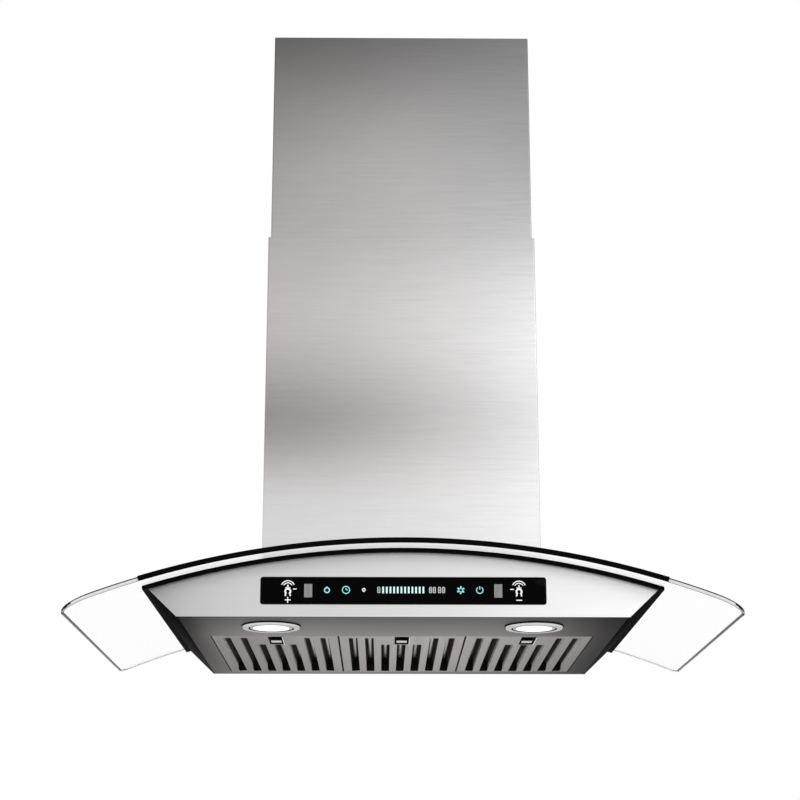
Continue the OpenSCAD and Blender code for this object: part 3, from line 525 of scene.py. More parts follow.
def make_shaded_bend_steel():
    # Painted shade: the chimney's painted reflection made darker, for the bends at the upright edges.
    finish = new_finish("shaded_bend_steel", (0.2, 0.2, 0.2), metal=1.0, rough=0.35)
    tone = times(finish, chimney_painted_reflection(finish), 0.72)
    return brushed(finish, tone, chimney_tint(finish), ACROSS, contrast=0.05)


def make_body_steel():
    """Steel of the body: pale, with a painted reflection that is brighter to the right and a painted shade
    under the arch.
    """
    finish = new_finish("body_steel", (0.7, 0.7, 0.7), metal=1.0, rough=0.3)
    x, _, z = place_axes(finish)
    across = ramp(finish, x, body_low.x, body_high.x, [
        (0.0, 0.34), (0.08, 0.54), (0.2, 0.6), (0.6, 0.71), (1.0, 0.95),
    ])
    height = plus(finish, z, -arch_z)
    reach = plus(finish, times(finish, x, x), times(finish, height, height))
    radius = add(finish, "Math", {0: reach}, operation="SQRT")
    gasket_t = 4 * MM
    shade_depth = 16 * MM
    deck_r = GLASS_R - GLASS_T - gasket_t
    shade = spread_to(
        finish, radius, 1.0, 0.86, deck_r - shade_depth, deck_r, interpolation_type="SMOOTHSTEP",
    )
    return brushed(finish, times(finish, across, shade), NEUTRAL, ACROSS, rough=0.34, contrast=0.03)


def make_underside_steel():
    """Steel of the underside: warm dark grey, with a painted reflection that is darkest at the sides in
    front, and painted shade towards the front edge.
    """
    finish = new_finish(
        "underside_steel", (0.5, 0.5, 0.5), metal=1.0, rough=0.34, Specular_Tint=EDGE_DARK,
    )
    x, y, _ = place_axes(finish)
    in_front = ramp(finish, x, body_low.x, body_high.x, [
        (0.0, 0.0), (0.065, 0.01), (0.11, 0.36), (0.2, 0.62), (0.34, 0.58), (0.5, 0.52),
        (0.65, 0.62), (0.8, 0.42), (0.88, 0.15), (0.94, 0.06), (1.0, 0.03),
    ])
    at_back = ramp(finish, x, body_low.x, body_high.x, [
        (0.0, 0.15), (0.06, 0.2), (0.13, 0.45), (0.5, 0.5), (0.84, 0.28), (0.92, 0.08), (1.0, 0.03),
    ])
    depth = spread_to(finish, y, 0.0, 1.0, body_low.y, 0.0)
    shade = spread_to(finish, y, 0.45, 1.0, body_low.y, tray_low.y)
    tone = times(finish, mixed(finish, depth, in_front, at_back), shade)
    return brushed(finish, tone, WARM, ACROSS_FLAT, rough=0.36, contrast=0.08)


def make_side_painted_shade():
    """Leaning sides of the body: painted shade of the glass, dark, with no sheen along the sheet."""
    finish = new_finish("side_painted_shade", (0.05, 0.05, 0.05), rough=0.6, IOR=1.0)
    _, y, _ = place_axes(finish)
    return brushed(
        finish, ramp(finish, y, body_low.y, 0.0, [(0.0, 0.008), (0.5, 0.015), (1.0, 0.06)]),
        WARM, ACROSS_FLAT, rough=0.6,
    )


def make_filter_steel():
    finish = new_finish(
        "filter_steel", (0.3, 0.29, 0.28), metal=1.0, rough=0.36, Specular_Tint=EDGE_DARK,
    )
    x, y, _ = place_axes(finish)
    # Painted reflection and shade: brighter in the middle of the row, darker at its ends and towards the
    # back.
    sideways = ramp(finish, x, -FILTER_ROW_HALF, FILTER_ROW_HALF, [
        (0.0, 0.5), (0.25, 0.68), (0.5, 0.8), (0.75, 0.75), (1.0, 0.5),
    ])
    depth = ramp(finish, y, tray_low.y, tray_high.y, [(0.0, 1.0), (0.5, 1.0), (1.0, 0.85)])
    return brushed(finish, times(finish, sideways, depth), WARM, LENGTHWISE, rough=0.36, contrast=0.08)


def make_shaded_baffle_steel():
    """Steel of the upper baffles, near black as painted shade."""
    finish = new_finish("shaded_baffle_steel", (0.05, 0.05, 0.05), metal=0.6, rough=0.5)
    return brushed(finish, 0.012, WARM, LENGTHWISE, rough=0.5)


def make_inner_steel():
    """Upper sides of the filters, seen when they hang open."""
    finish = new_finish("inner_steel", (0.4, 0.4, 0.4), metal=1.0, rough=0.4)
    return brushed(finish, 0.42, WARM, LENGTHWISE, rough=0.4)


def make_crown_painted_highlight(name, centre_x):
    """Flat crowns of a filter's upper baffles: a painted highlight that thins out towards the back."""
    finish = new_finish("crown_painted_highlight_" + name, (0.5, 0.5, 0.5), metal=0.2, rough=0.4)
    x, y, _ = place_axes(finish)
    offset = add(finish, "Math", {
        0: plus(finish, x, -centre_x), 1: SLOT_PITCH / 2,
    }, operation="PINGPONG")
    half = spread_to(finish, y, 1.7 * MM, -0.3 * MM, HIGHLIGHT_START, HIGHLIGHT_END)
    past_highlight = add(finish, "Math", {0: offset, 1: half}, operation="SUBTRACT")
    tone = spread_to(
        finish, past_highlight, 0.85, 0.012, -0.5 * MM, 0.5 * MM, interpolation_type="SMOOTHSTEP",
    )
    return brushed(finish, tone, WARM, LENGTHWISE, rough=0.4)


def make_slot_wall_steel():
    """Upturned walls of the slots: a painted reflection, pale where they stand and paler away from the
    middle of the row, and painted shade past their rounded back end.
    """
    finish = new_finish("slot_wall_steel", (0.4, 0.4, 0.4), metal=0.15, rough=0.45)
    x, y, z = place_axes(finish)
    away = add(finish, "Math", {0: x}, operation="ABSOLUTE")
    tone = ramp(finish, away, 0.0, -tray_row_low.x, [
        (0.0, 0.03), (0.25, 0.06), (0.4, 0.4), (0.7, 0.75), (1.0, 0.85),
    ])
    height = plus(finish, z, -tray_low.z)
    end = plus(finish, times(finish, times(finish, height, height), SLOT_WALL_BEND), SLOT_WALL_END)
    past_end = add(finish, "Math", {0: y, 1: end}, operation="SUBTRACT")
    painted_pale_share = spread_to(finish, past_end, 1.0, 0.02, -1.5 * MM, 1.5 * MM)
    return brushed(finish, times(finish, tone, painted_pale_share), WARM, LENGTHWISE, rough=0.45)


def make_latch_steel():
    finish = new_finish("latch_steel", (0.5, 0.5, 0.5), metal=1.0, rough=0.3)
    return brushed(finish, 0.5, NEUTRAL, ACROSS_FLAT, rough=0.3)


def make_galvanised():
    """Galvanised sheet: dull grey zinc with faint crystal patches."""
    finish = new_finish("galvanised_sheet", (0.5, 0.52, 0.54), metal=0.85, rough=0.5)
    spread = add(finish, "Mapping", {"Vector": object_place(finish), "Scale": (150.0, 150.0, 150.0)})
    crystals = add(finish, "TexVoronoi", {"Vector": spread, "Scale": 1.0, "Randomness": 1.0})
    shades = add(finish, "SeparateXYZ", {"Vector": crystals.node.outputs["Color"]})
    cloud = noise(finish, (20.0, 20.0, 20.0))
    crystal_tone = spread_to(finish, shades, 0.45, 0.54, 0.0, 1.0)
    tone = times(finish, crystal_tone, spread_to(finish, cloud, 0.95, 1.05))
    wire(finish, tinted(finish, tone, (0.97, 1.0, 1.03)), "Base Color")
    wire(finish, spread_to(finish, shades, 0.42, 0.56, 0.0, 1.0), "Roughness")
    bump(finish, crystals, 0.08, 0.05 * MM)
    return finish


def make_plain(name, colour, metal, rough, speckle, variation=0.05, depth=0.03, **sockets):
    """A moulded, cast or painted surface with a fine texture in colour, gloss and relief."""
    finish = new_finish(name, colour, metal, rough, **sockets)
    fine = noise(finish, (speckle, speckle, speckle), detail=4.0)
    shade = spread_to(finish, fine, 1 - variation, 1 + variation)
    wire(finish, tinted(finish, shade, colour), "Base Color")
    wire(finish, spread_to(finish, fine, max(rough - 0.05, 0.02), rough + 0.06), "Roughness")
    bump(finish, fine, depth, 0.1 * MM)
    return finish


def make_glass():
    """Clear tempered glass, with a trace of smear in its gloss."""
    finish = new_finish(
        "clear_glass", (0.995, 1.0, 0.998), rough=0.0, Transmission_Weight=1.0, IOR=1.12,
    )
    smear = noise(finish, (9.0, 9.0, 9.0), detail=2.0)
    wire(finish, spread_to(finish, smear, 0.0, 0.03), "Roughness")
    return finish


def make_lit(name, colour, strength):
    """A lit surface with a faint unevenness over its area."""
    finish = new_finish(name, (0.0, 0.0, 0.0), rough=0.4, Emission_Strength=strength)
    fine = noise(finish, (400.0, 400.0, 400.0))
    wire(finish, tinted(finish, spread_to(finish, fine, 0.93, 1.05), colour), "Emission Color")
    return finish


chimney_steel = make_chimney_steel()
shaded_bend_steel = make_shaded_bend_steel()
body_steel = make_body_steel()
underside_steel = make_underside_steel()
side_painted_shade = make_side_painted_shade()
filter_steel = make_filter_steel()
shaded_baffle_steel = make_shaded_baffle_steel()
inner_steel = make_inner_steel()
slot_wall_steel = make_slot_wall_steel()
latch_steel = make_latch_steel()
galvanised = make_galvanised()
clear_glass = make_glass()
# Painted glow: a white band of the glass's underside, inside the gasket, that shines though it is no lamp.
glass_painted_glow = make_plain(
    "glass_painted_glow", (1.0, 1.0, 1.0), 0.0, 0.06, 300.0, variation=0.01, depth=0.0,
    Transmission_Weight=0.65, IOR=1.12, Emission_Color=(1, 1, 1, 1), Emission_Strength=0.2,
)
# Painted light on the glass edges: a pale reflection band and a dark outline.
glass_edge_painted_light = make_plain("glass_edge_painted_light", (0.78, 0.81, 0.8), 0.0, 0.1, 300.0)
glass_rim_painted_shade = make_plain("glass_rim_painted_shade", (0.012, 0.014, 0.014), 0.0, 0.15, 300.0, IOR=1.1)
black_trim = make_plain("black_trim", (0.003, 0.003, 0.003), 0.0, 0.35, 600.0, IOR=1.06)
black_rubber = make_plain("black_rubber", (0.003, 0.003, 0.003), 0.0, 0.6, 900.0, depth=0.1, IOR=1.04)
touch_glass = make_plain(
    "touch_glass", (0.001, 0.001, 0.001), 0.0, 0.08, 40.0, depth=0.0, Specular_IOR_Level=0.02,
)
touch_rim = make_plain("touch_rim", (0.03, 0.03, 0.03), 0.0, 0.25, 200.0)
sensor_window = make_plain("sensor_window", (0.42, 0.4, 0.4), 0.0, 0.4, 500.0)
sensor_groove = make_plain("sensor_groove", (0.16, 0.15, 0.15), 0.0, 0.5, 500.0)
lit_white = make_lit("lit_white", (1.0, 0.99, 0.98), 0.95)
lit_cyan = make_lit("lit_cyan", (0.33, 0.78, 0.82), 1.0)
lit_pale = make_lit("lit_pale", (0.72, 1.0, 1.0), 1.0)
dim_white = make_lit("dim_white", (0.9, 1.0, 1.0), 1.1)
chrome = make_plain("chrome", (0.72, 0.72, 0.73), 1.0, 0.12, 200.0, variation=0.02)
bezel_steel = make_plain(
    "bezel_steel", (0.66, 0.66, 0.66), 1.0, 0.22, 200.0, variation=0.03, Specular_Tint=(0.7, 0.7, 0.7, 1),
)
shadow_black = make_plain("shadow_black", (0.004, 0.004, 0.004), 0.0, 0.6, 200.0, IOR=1.02)
lamp_lens = make_lit("lamp_lens", (1.0, 1.0, 0.98), 1.6)
lamp_collar = make_plain("lamp_collar", (0.42, 0.42, 0.42), 0.3, 0.35, 300.0)
zinc = make_plain("zinc", (0.7, 0.7, 0.71), 1.0, 0.25, 700.0)
aluminium = make_plain("cast_aluminium", (0.62, 0.63, 0.65), 1.0, 0.42, 900.0, depth=0.1)
spring_wire = make_plain("spring_wire", (0.5, 0.5, 0.52), 1.0, 0.25, 500.0)
motor_paint = make_plain("motor_paint", (0.06, 0.065, 0.07), 0.0, 0.4, 350.0)
black_plastic = make_plain("black_plastic", (0.03, 0.03, 0.032), 0.0, 0.5, 900.0, depth=0.08)
grey_plastic = make_plain("grey_plastic", (0.12, 0.12, 0.13), 0.0, 0.5, 900.0, depth=0.08)
white_plastic = make_plain("white_plastic", (0.72, 0.72, 0.69), 0.0, 0.45, 900.0, depth=0.05)
circuit_board = make_plain("circuit_board", (0.02, 0.12, 0.05), 0.0, 0.35, 260.0, variation=0.3)


# Glass canopy, its trim and its gasket

def make_canopy():
    half = glass_high.x
    half_angle = math.degrees(math.asin(half / GLASS_R)) + 1
    glass = swept_bar(
        "canopy_glass", 0, arch_z, GLASS_R, GLASS_R - GLASS_T,
        glass_low.y - 1 * MM, glass_high.y + 1 * MM, -half_angle, 2 * half_angle, 96,
    )
    margin = 100 * MM
    plan = block(
        "plan", (-half, glass_low.y, glass_low.z - margin), (half, glass_high.y, glass_high.z + margin),
    )
    for corner_y, radius in ((glass_low.y, FRONT_CORNER_R), (glass_high.y, BACK_CORNER_R)):
        round_edges(plan, lambda a, b: (
            abs(a.y - corner_y) < MM and abs(b.y - corner_y) < MM and abs(a.x - b.x) < MM
            and abs(a.z - b.z) > MM
        ), radius, 10)
    carve(glass, plan, "INTERSECT")
    notch_gap = 4 * MM
    carve(glass, block(
        "notch", (box_low.x - notch_gap, box_low.y - notch_gap, -1), (box_high.x + notch_gap, 1, 1)
    ))
    merge(glass, 0.2 * MM)
    set_finishes(glass, clear_glass, glass_edge_painted_light, glass_rim_painted_shade, glass_painted_glow)
    split(glass, (0, gasket_low.y, 0), (0, 1, 0))
    for gasket_x in (gasket_low.x, -gasket_low.x):
        split(glass, (gasket_x, 0, 0), (1, 0, 0))
    # The softened edges take the painted dark outline.
    soften(glass, 1.7 * MM, segments=3, angle=50, band=2, clamp=False)
    axis = Vector((0, 0, arch_z))

    def is_pale(middle, normal):
        """Faces of the painted pale reflection: the edge's middle band, its lower half in front and at the
        sides, and all of it behind.
        """
        outward = middle - axis
        outward.y = 0
        rise = normal.dot(outward.normalized())
        if abs(rise) > 0.97:
            return False
        if abs(normal.x) > 0.6:
            return rise < -0.3
        in_front = normal.y < -0.3 and middle.y < glass_low.y + FRONT_CORNER_R + 2 * MM
        return abs(rise) < 0.2 or (in_front and rise < 0) or middle.y > box_low.y - 6 * MM

    paint_faces(glass, 1, is_pale)
    # Painted glow on the glass's underside inside the gasket.
    paint_faces(glass, 3, lambda middle, normal: (
        middle.y < gasket_low.y and abs(middle.x) < -gasket_low.x and abs(normal.y) < 0.2
        and (middle - axis).dot(normal) < 0 and not is_pale(middle, normal)
    ))
    hand_over(glass, "hood", "clear_glass", "glass_canopy")


make_canopy()


def make_trim():
    """Black strip along the front edge of the glass, a little proud of it above."""
    trim_low, trim_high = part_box("glass_front_trim")
    half_angle = math.degrees(math.asin(trim_high.x / (GLASS_R - GLASS_T)))
    lap = 0.6 * MM
    trim = swept_bar(
        "front_trim", 0, arch_z, GLASS_R + lap, GLASS_R - GLASS_T - 0.1 * MM,
        trim_low.y, trim_high.y + 2 * lap, -half_angle, 2 * half_angle, 72,
    )
    reach = GLASS_R + lap / 2
    round_edges(trim, lambda a, b: (
        near(a.y, trim_low.y) and near(b.y, trim_low.y) and abs(a.x - b.x) > MM
        and math.hypot(a.x, a.z - arch_z) > reach and math.hypot(b.x, b.z - arch_z) > reach
    ), 0.5 * MM, 3)
    keep_faces_flat(smooth(trim))
    hand_over(set_finishes(trim, black_trim), "hood", "black_trim", "glass_front_trim")


def make_gasket():
    gasket = soften(copy_of("canopy_gasket", "glass_gasket"), 0.6 * MM)
    hand_over(set_finishes(gasket, black_rubber), "hood", "black_rubber", "glass_gasket")


make_trim()
make_gasket()


# Steel body and underside

def make_body():
    shell = soften(copy_of("body_steelwork", "body_shell"), 0.4 * MM)
    set_finishes(shell, body_steel, side_painted_shade)
    # Painted shade: the leaning sides and the bottom edge of the shell are painted dark.
    paint_faces(shell, 1, lambda middle, normal: (
        (abs(normal.x) > 0.25 and normal.z < -0.1 and abs(normal.y) < 0.5)
        or (middle.z < body_low.z + 1.2 * MM and normal.z < -0.1 and middle.y > body_low.y + 2 * MM)
    ))
    hand_over(shell, "hood", "brushed_steel", "body_shell")
    panel = soften(copy_of("underside", "underside_panel"), 0.35 * MM)
    hand_over(set_finishes(panel, underside_steel), "hood", "underside_steel", "underside_panel")


make_body()


# Touch strip: black glass with a dark rim, two ribbed windows and lit icons

strip_x = (strip_low.x + strip_high.x) / 2
strip_z = (strip_low.z + strip_high.z) / 2
strip_front = strip_low.y
ICON_T = 0.08 * MM


def make_strip():
    glass = block("touch_glass_strip", strip_low, strip_high)
    round_edges(glass, lambda a, b: abs(a.y - b.y) > MM, 3 * MM, 8)
    set_finishes(glass, touch_glass, touch_rim)
    round_edges(glass, lambda a, b: (
        near(a.y, strip_front) and near(b.y, strip_front)
    ), 0.4 * MM, 2, material=1)
    for side in SIDES:
        low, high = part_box("gesture_window_" + side)
        play = Vector((0.05 * MM, MM, 0.05 * MM))
        carve(glass, block("hole", low - play, high + play))
    smooth(glass)
    hand_over(glass, "hood", "touch_glass", "touch_strip")
    for side in SIDES:
        make_window(side)


def make_window(side):
    """A grey window with upright ribs."""
    low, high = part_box("gesture_window_" + side)
    rib_count = 7
    window = block("ribbed_window_" + side, low, high)
    open_mesh(window, "EDGE")
    select_edges(window, lambda a, b: abs(a.x - b.x) > MM)
    bpy.ops.mesh.subdivide(number_cuts=2 * rib_count - 1)
    bpy.ops.mesh.select_mode(type="FACE")
    pitch = (high.x - low.x) / (2 * rib_count)
    set_finishes(window, sensor_window, sensor_groove)
    select_faces(window, lambda middle, normal: (
        normal.y < -0.9 and int((middle.x - low.x) / pitch) % 2 == 1
    ))
    window.active_material_index = 1
    bpy.ops.object.material_slot_assign()
    bpy.ops.mesh.inset(thickness=0.08 * MM, depth=-0.25 * MM, use_individual=True)
    close_mesh()
    smooth(window)
    hand_over(window, "hood", "sensor_window", "gesture_window_" + side)


def icon_bar(x, z, width, height, turn=0.0):
    """A flat lit bar on the strip; x and z are millimetres from the strip's middle."""
    bar = block("bar", (-width * MM / 2, -ICON_T, -height * MM / 2), (width * MM / 2, 0, height * MM / 2))
    round_edges(bar, lambda a, b: abs(a.y - b.y) > ICON_T / 2, min(width, height) * MM * 0.25, 3)
    bar.rotation_euler = (0, math.radians(turn), 0)
    bar.location = (strip_x + x * MM, strip_front, strip_z + z * MM)
    return settle(bar)


def icon_arc(x, z, radius, width, start=0.0, sweep=360.0):
    """A flat lit arc or ring on the strip; start and sweep are degrees from upright."""
    return swept_bar(
        "arc", strip_x + x * MM, strip_z + z * MM,
        (radius + width / 2) * MM, (radius - width / 2) * MM,
        strip_front - ICON_T, strip_front, start, sweep, max(8, int(abs(sweep) / 9)),
    )


def gesture_icon(x, dash_side, sign):
    """A hand under two waves, with a dash beside it and a plus or minus sign below."""
    parts = [
        icon_arc(x, 3.4, 7.6, 1.1, -66, 132),
        icon_arc(x, 3.4, 5.2, 1.0, -60, 120),
        icon_bar(x, 4.2, 1.4, 4.6),
        icon_bar(x - 1.6, 2.4, 1.2, 3.2, -24),
        icon_bar(x + 1.6, 2.4, 1.2, 3.2, 24),
        icon_arc(x, -0.9, 2.9, 1.9, -150, 300),
        icon_bar(x - 2.5, -4.4, 1.5, 3.6, 12),
        icon_bar(x + 2.5, -4.4, 1.5, 3.6, -12),
        icon_bar(x + dash_side * 7.6, 1.7, 4.0, 1.1),
        icon_bar(x, -10.4, 6.6, 1.1),
    ]
    if sign == "plus":
        parts.append(icon_bar(x, -10.4, 1.1, 6.6))
    return parts


def digit_icon(x, z, width, height, line):
    """A plain numeral eight built from seven bars."""
    half_w, half_h = width / 2, height / 2
    parts = [icon_bar(x, z + level, width * 0.72, line) for level in (-half_h, 0, half_h)]
    for side in (-1, 1):
        for level in (-1, 1):
            parts.append(icon_bar(x + side * half_w, z + level * half_h / 2, line, half_h * 0.8))
    return parts


def make_icons():
    mid = 0.8
    white = gesture_icon(-127.6, 1, "plus") + gesture_icon(127.8, -1, "minus")
    cyan = [icon_arc(-84.4, mid - 0.3, 2.7, 1.3), icon_bar(-84.4, mid + 3.0, 1.5, 1.5, 45)]
    cyan += [
        icon_arc(-63.4, mid, 4.0, 1.0), icon_bar(-63.4, mid + 1.0, 0.8, 2.6),
        icon_bar(-62.4, mid, 2.2, 0.8),
    ]
    for blade in range(6):
        turn = blade * 60
        angle = math.radians(turn)
        blade_x, blade_z = 63.4 + 2.9 * math.sin(angle), mid + 2.9 * math.cos(angle)
        cyan.append(icon_bar(blade_x, blade_z, 1.7, 3.0, turn + 20))
    cyan += [icon_arc(84.4, mid, 3.6, 1.0, 34, 292), icon_bar(84.4, mid + 2.6, 1.0, 3.8)]
    levels = [icon_bar(bar * 4.04 - 22.4, mid, 1.9, 7.5) for bar in range(12)]
    dim = [icon_arc(-43.7, mid + 0.2, 1.5, 1.0), icon_bar(-43.7, mid - 1.6, 1.0, 1.6)]
    for digit_x in (-27.2, 30.0, 34.2, 40.0, 44.4):
        dim += digit_icon(digit_x, mid, 2.5, 6.2, 0.55)
    for name, parts, finish in (
        ("gesture_icons", white, lit_white), ("lit_icons", cyan, lit_cyan),
        ("level_bars", levels, lit_pale), ("numeral_icons", dim, dim_white),
    ):
        icons = join(name, parts)
        hand_over(set_finishes(icons, finish), "hood", "touch_glass")


make_strip()
make_icons()


# Lamps: a stepped steel bezel round a lit lens

def make_lamp(side):
    bezel_low, bezel_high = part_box("lamp_bezel_" + side)
    lens_low, lens_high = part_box("lamp_lens_" + side)
    centre = Vector(((bezel_low.x + bezel_high.x) / 2, (bezel_low.y + bezel_high.y) / 2, bezel_high.z))
    outer = (bezel_high.x - bezel_low.x) / 2
    drop = bezel_high.z - bezel_low.z
    lens_r = (lens_high.x - lens_low.x) / 2
    groove = 1.1 * MM
    bezel = turned("bezel_" + side, centre, [
        (lens_r + 0.2 * MM, -0.3 * MM), (lens_r + 0.2 * MM, -drop + 1.2 * MM),
        (lens_r + groove, -drop + 0.8 * MM), (lens_r + groove + 0.3 * MM, -drop + 0.2 * MM),
        (lens_r + groove + 0.7 * MM, -drop), (outer - 2.4 * MM, -drop),
        (outer - 1.6 * MM, -drop + 0.2 * MM), (outer - 1.1 * MM, -drop + 0.8 * MM),
        (outer - 0.7 * MM, -1.5 * MM), (outer, -0.9 * MM), (outer, 0), (outer - 5 * MM, 0),
        (outer - 6 * MM, -0.3 * MM),
    ])
    set_finishes(bezel, bezel_steel, shadow_black)

    # Painted shadow: the outer flank and the groove round the lens are black.
    def is_dark(middle, normal):
        reach = math.hypot(middle.x - centre.x, middle.y - centre.y)
        return reach > outer - 0.7 * MM or reach < lens_r + groove + 0.2 * MM

    paint_faces(bezel, 1, is_dark)
    hand_over(bezel, "hood", "chrome", "lamp_bezel_" + side)
    glow_r = lens_r - 4.2 * MM
    lens = turned("lens_" + side, centre, [
        (0, -drop + 0.1 * MM), (glow_r * 0.7, -drop + 0.15 * MM), (glow_r, -drop + 0.5 * MM),
        (glow_r + 0.5 * MM, -drop + 0.35 * MM), (lens_r - 1.2 * MM, -drop + 0.3 * MM),
        (lens_r - 0.4 * MM, -drop + 0.6 * MM), (lens_r, -drop + 1.2 * MM), (lens_r, 0), (0, 0),
    ])
    set_finishes(lens, lamp_lens, lamp_collar)
    paint_faces(lens, 1, lambda middle, normal: (
        math.hypot(middle.x - centre.x, middle.y - centre.y) > glow_r + 0.05 * MM
    ))
    hand_over(lens, "hood", "lamp_lens", "lamp_lens_" + side)


for side in SIDES:
    make_lamp(side)


# Filters: pressed trays with softened slots, upper baffles, latches and springs

# The latch recess, the painted shadow across the front of its pull tab, and the painted shadow along the
# side edges of a tray
RECESS_HALF = 8.5 * MM
RECESS_FRONT = -321 * MM
RECESS_BACK = -263 * MM
TAB_SHADOW_BACK = -291 * MM
TRAY_EDGE_SHADOW = 0.8 * MM


def make_guide(name, centre_x, body):
    """A bright bent-down lip along the right side of the latch recess."""
    edge = centre_x + RECESS_HALF
    lip = block(
        "guide_lip_" + name, (edge, RECESS_FRONT, tray_low.z - 1.3 * MM),
        (edge + 0.9 * MM, RECESS_BACK, tray_low.z + 0.3 * MM),
    )
    soften(lip, 0.25 * MM, segments=3)
    hand_over(set_finishes(lip, chrome), body, "filter_steel")


def make_spring(name):
    """A wound wire between the pull tab and the back of the recess."""
    low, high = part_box("latch_spring_" + name)
    wire_r = 0.3 * MM
    coil_r = (high.x - low.x) / 2 - wire_r
    turns = 6
    length = high.y - low.y - 2 * wire_r
    centre_x, mid_z = (low.x + high.x) / 2, (low.z + high.z) / 2
    deselect_all()
    bpy.ops.mesh.primitive_circle_add(
        vertices=8, radius=wire_r, location=(coil_r, 0, 0), rotation=(math.pi / 2, 0, 0), fill_type="NGON",
    )
    spring = bpy.context.object
    spring.name = "coil_spring_" + name
    settle(spring)
    winding = spring.modifiers.new("winding", "SCREW")
    winding.angle = 2 * math.pi
    winding.screw_offset = length / turns
    winding.iterations = turns
    winding.steps = 24
    winding.render_steps = 24
    winding.use_merge_vertices = False
    apply_modifiers(spring)
    spring.rotation_euler = (-math.pi / 2, 0, 0)
    spring.location = (centre_x, low.y + wire_r, mid_z)
    settle(spring)
    merge(spring, 0.001 * MM)
    smooth(face_outwards(spring), 60)
    hand_over(set_finishes(spring, spring_wire), name + "_filter", "spring_steel", "latch_spring_" + name)
    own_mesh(spring)


def make_filter(name):
    body = name + "_filter"
    low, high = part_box("filter_tray_" + name)
    centre_x = (low.x + high.x) / 2
    latch_low, latch_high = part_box("latch_" + name)
    tray = copy_of("tray_" + name, "filter_tray_" + name)
    set_finishes(tray, filter_steel, slot_wall_steel, shaded_baffle_steel, shadow_black, inner_steel)
    shadow_edges = (low.x + TRAY_EDGE_SHADOW, high.x - TRAY_EDGE_SHADOW)
    for shadow_x in shadow_edges:
        split(tray, (shadow_x, 0, 0), (1, 0, 0))
    soften(tray, 0.3 * MM)

    def in_recess(middle):
        return abs(middle.x - centre_x) < 10 * MM and middle.y < latch_high.y + 14 * MM

    def is_upturned(middle):
        """Above the flat underside and inside the tray's own side walls."""
        return low.x + 3 * MM < middle.x < high.x - 3 * MM and middle.z > low.z + 0.4 * MM

    # Painted reflection: the upturned slot walls take the pale wall steel.
    paint_faces(tray, 1, lambda middle, normal: (
        is_upturned(middle) and abs(normal.x) > 0.7 and middle.z < low.z + 7 * MM
        and not in_recess(middle)
    ))
    # Painted shade: the sloping faces inside the slots are near black.
    paint_faces(tray, 2, lambda middle, normal: (
        is_upturned(middle) and abs(normal.x) < 0.7 and middle.y > low.y + 2 * MM
    ))
    paint_faces(tray, 4, lambda middle, normal: normal.z > 0.5)
    # Painted shadow: narrow bands along the tray's side edges are black.
    paint_faces(tray, 3, lambda middle, normal: (
        (middle.x < shadow_edges[0] or middle.x > shadow_edges[1]) and normal.z < -0.1
    ))
    hand_over(tray, body, "filter_steel", "filter_tray_" + name)
    baffles = soften(copy_of("baffles_" + name, "filter_baffles_" + name), 0.2 * MM)
    set_finishes(baffles, shaded_baffle_steel, make_crown_painted_highlight(name, centre_x), inner_steel)
    paint_faces(baffles, 1, lambda middle, normal: normal.z < -0.9 and middle.z > low.z + 12 * MM)
    paint_faces(baffles, 2, lambda middle, normal: normal.z > 0.3)
    hand_over(baffles, body, "filter_steel", "filter_baffles_" + name)
    slider = soften(copy_of("pull_tab_" + name, "latch_" + name), 0.3 * MM, segments=3)
    set_finishes(slider, latch_steel, shadow_black)
    split(slider, (0, TAB_SHADOW_BACK, 0), (0, 1, 0))
    # Painted shadow: the parts of the slider up in the recess and the front of its pull tab are black.
    paint_faces(slider, 1, lambda middle, normal: (
        middle.z > latch_low.z + 1.6 * MM or middle.y < TAB_SHADOW_BACK
    ))
    hand_over(slider, name + "_latch", "latch_steel", "latch_" + name)
    make_guide(name, centre_x, body)
    make_spring(name)


for name in FILTERS:
    make_filter(name)


# Telescopic chimney: folded covers with small bends at their upright edges

def make_cover(name, node, low, high, body):
    """A U-shaped sheet cover with lips, open towards the wall."""
    sheet, lip = 1 * MM, 15 * MM
    cover = block(name, low, high)
    open_mesh(cover)
    select_faces(cover, lambda middle, normal: abs(normal.z) > 0.9 or normal.y > 0.9)
    bpy.ops.mesh.delete(type="FACE")
    for edge_x, inward in ((low.x, lip), (high.x, -lip)):
        bpy.ops.mesh.select_mode(type="EDGE")
        bpy.ops.mesh.select_all(action="DESELECT")
        select_edges(cover, lambda a, b: (
            near(a.x, edge_x) and near(b.x, edge_x) and near(a.y, high.y) and near(b.y, high.y)
        ))
        bpy.ops.mesh.extrude_edges_move(TRANSFORM_OT_translate={"value": (inward, 0, 0)})
    bpy.ops.mesh.select_all(action="DESELECT")
    select_edges(cover, lambda a, b: (
        near(a.x, b.x) and near(a.y, b.y) and (near(a.x, low.x) or near(a.x, high.x))
    ))
    set_finishes(cover, chimney_steel, shaded_bend_steel)
    # Painted shade: the bends at the upright edges take the darker steel.
    bpy.ops.mesh.bevel(offset=1.6 * MM, segments=5, affect="EDGES", material=1)
    close_mesh()
    wall = cover.modifiers.new("sheet", "SOLIDIFY")
    wall.thickness = sheet
    wall.offset = -1
    wall.use_even_offset = True
    apply_modifiers(cover)
    if node == "chimney_lower":
        clear = 0.3 * MM
        carve(cover, rod("arch", (0, -0.3, arch_z), GLASS_R + clear, 2, "Y", 360))
    soften(cover, 0.2 * MM, segments=1, angle=60)
    hand_over(cover, body, "brushed_steel", node)


make_cover("lower_cover", "chimney_lower", lower_low - Vector((0, 0, 30 * MM)), lower_high, "hood")
make_cover("upper_cover", "chimney_upper", upper_low, upper_high, "upper_chimney")


# Inner pieces: softened copies of the CAD nodes with sockets, grooves and small parts added

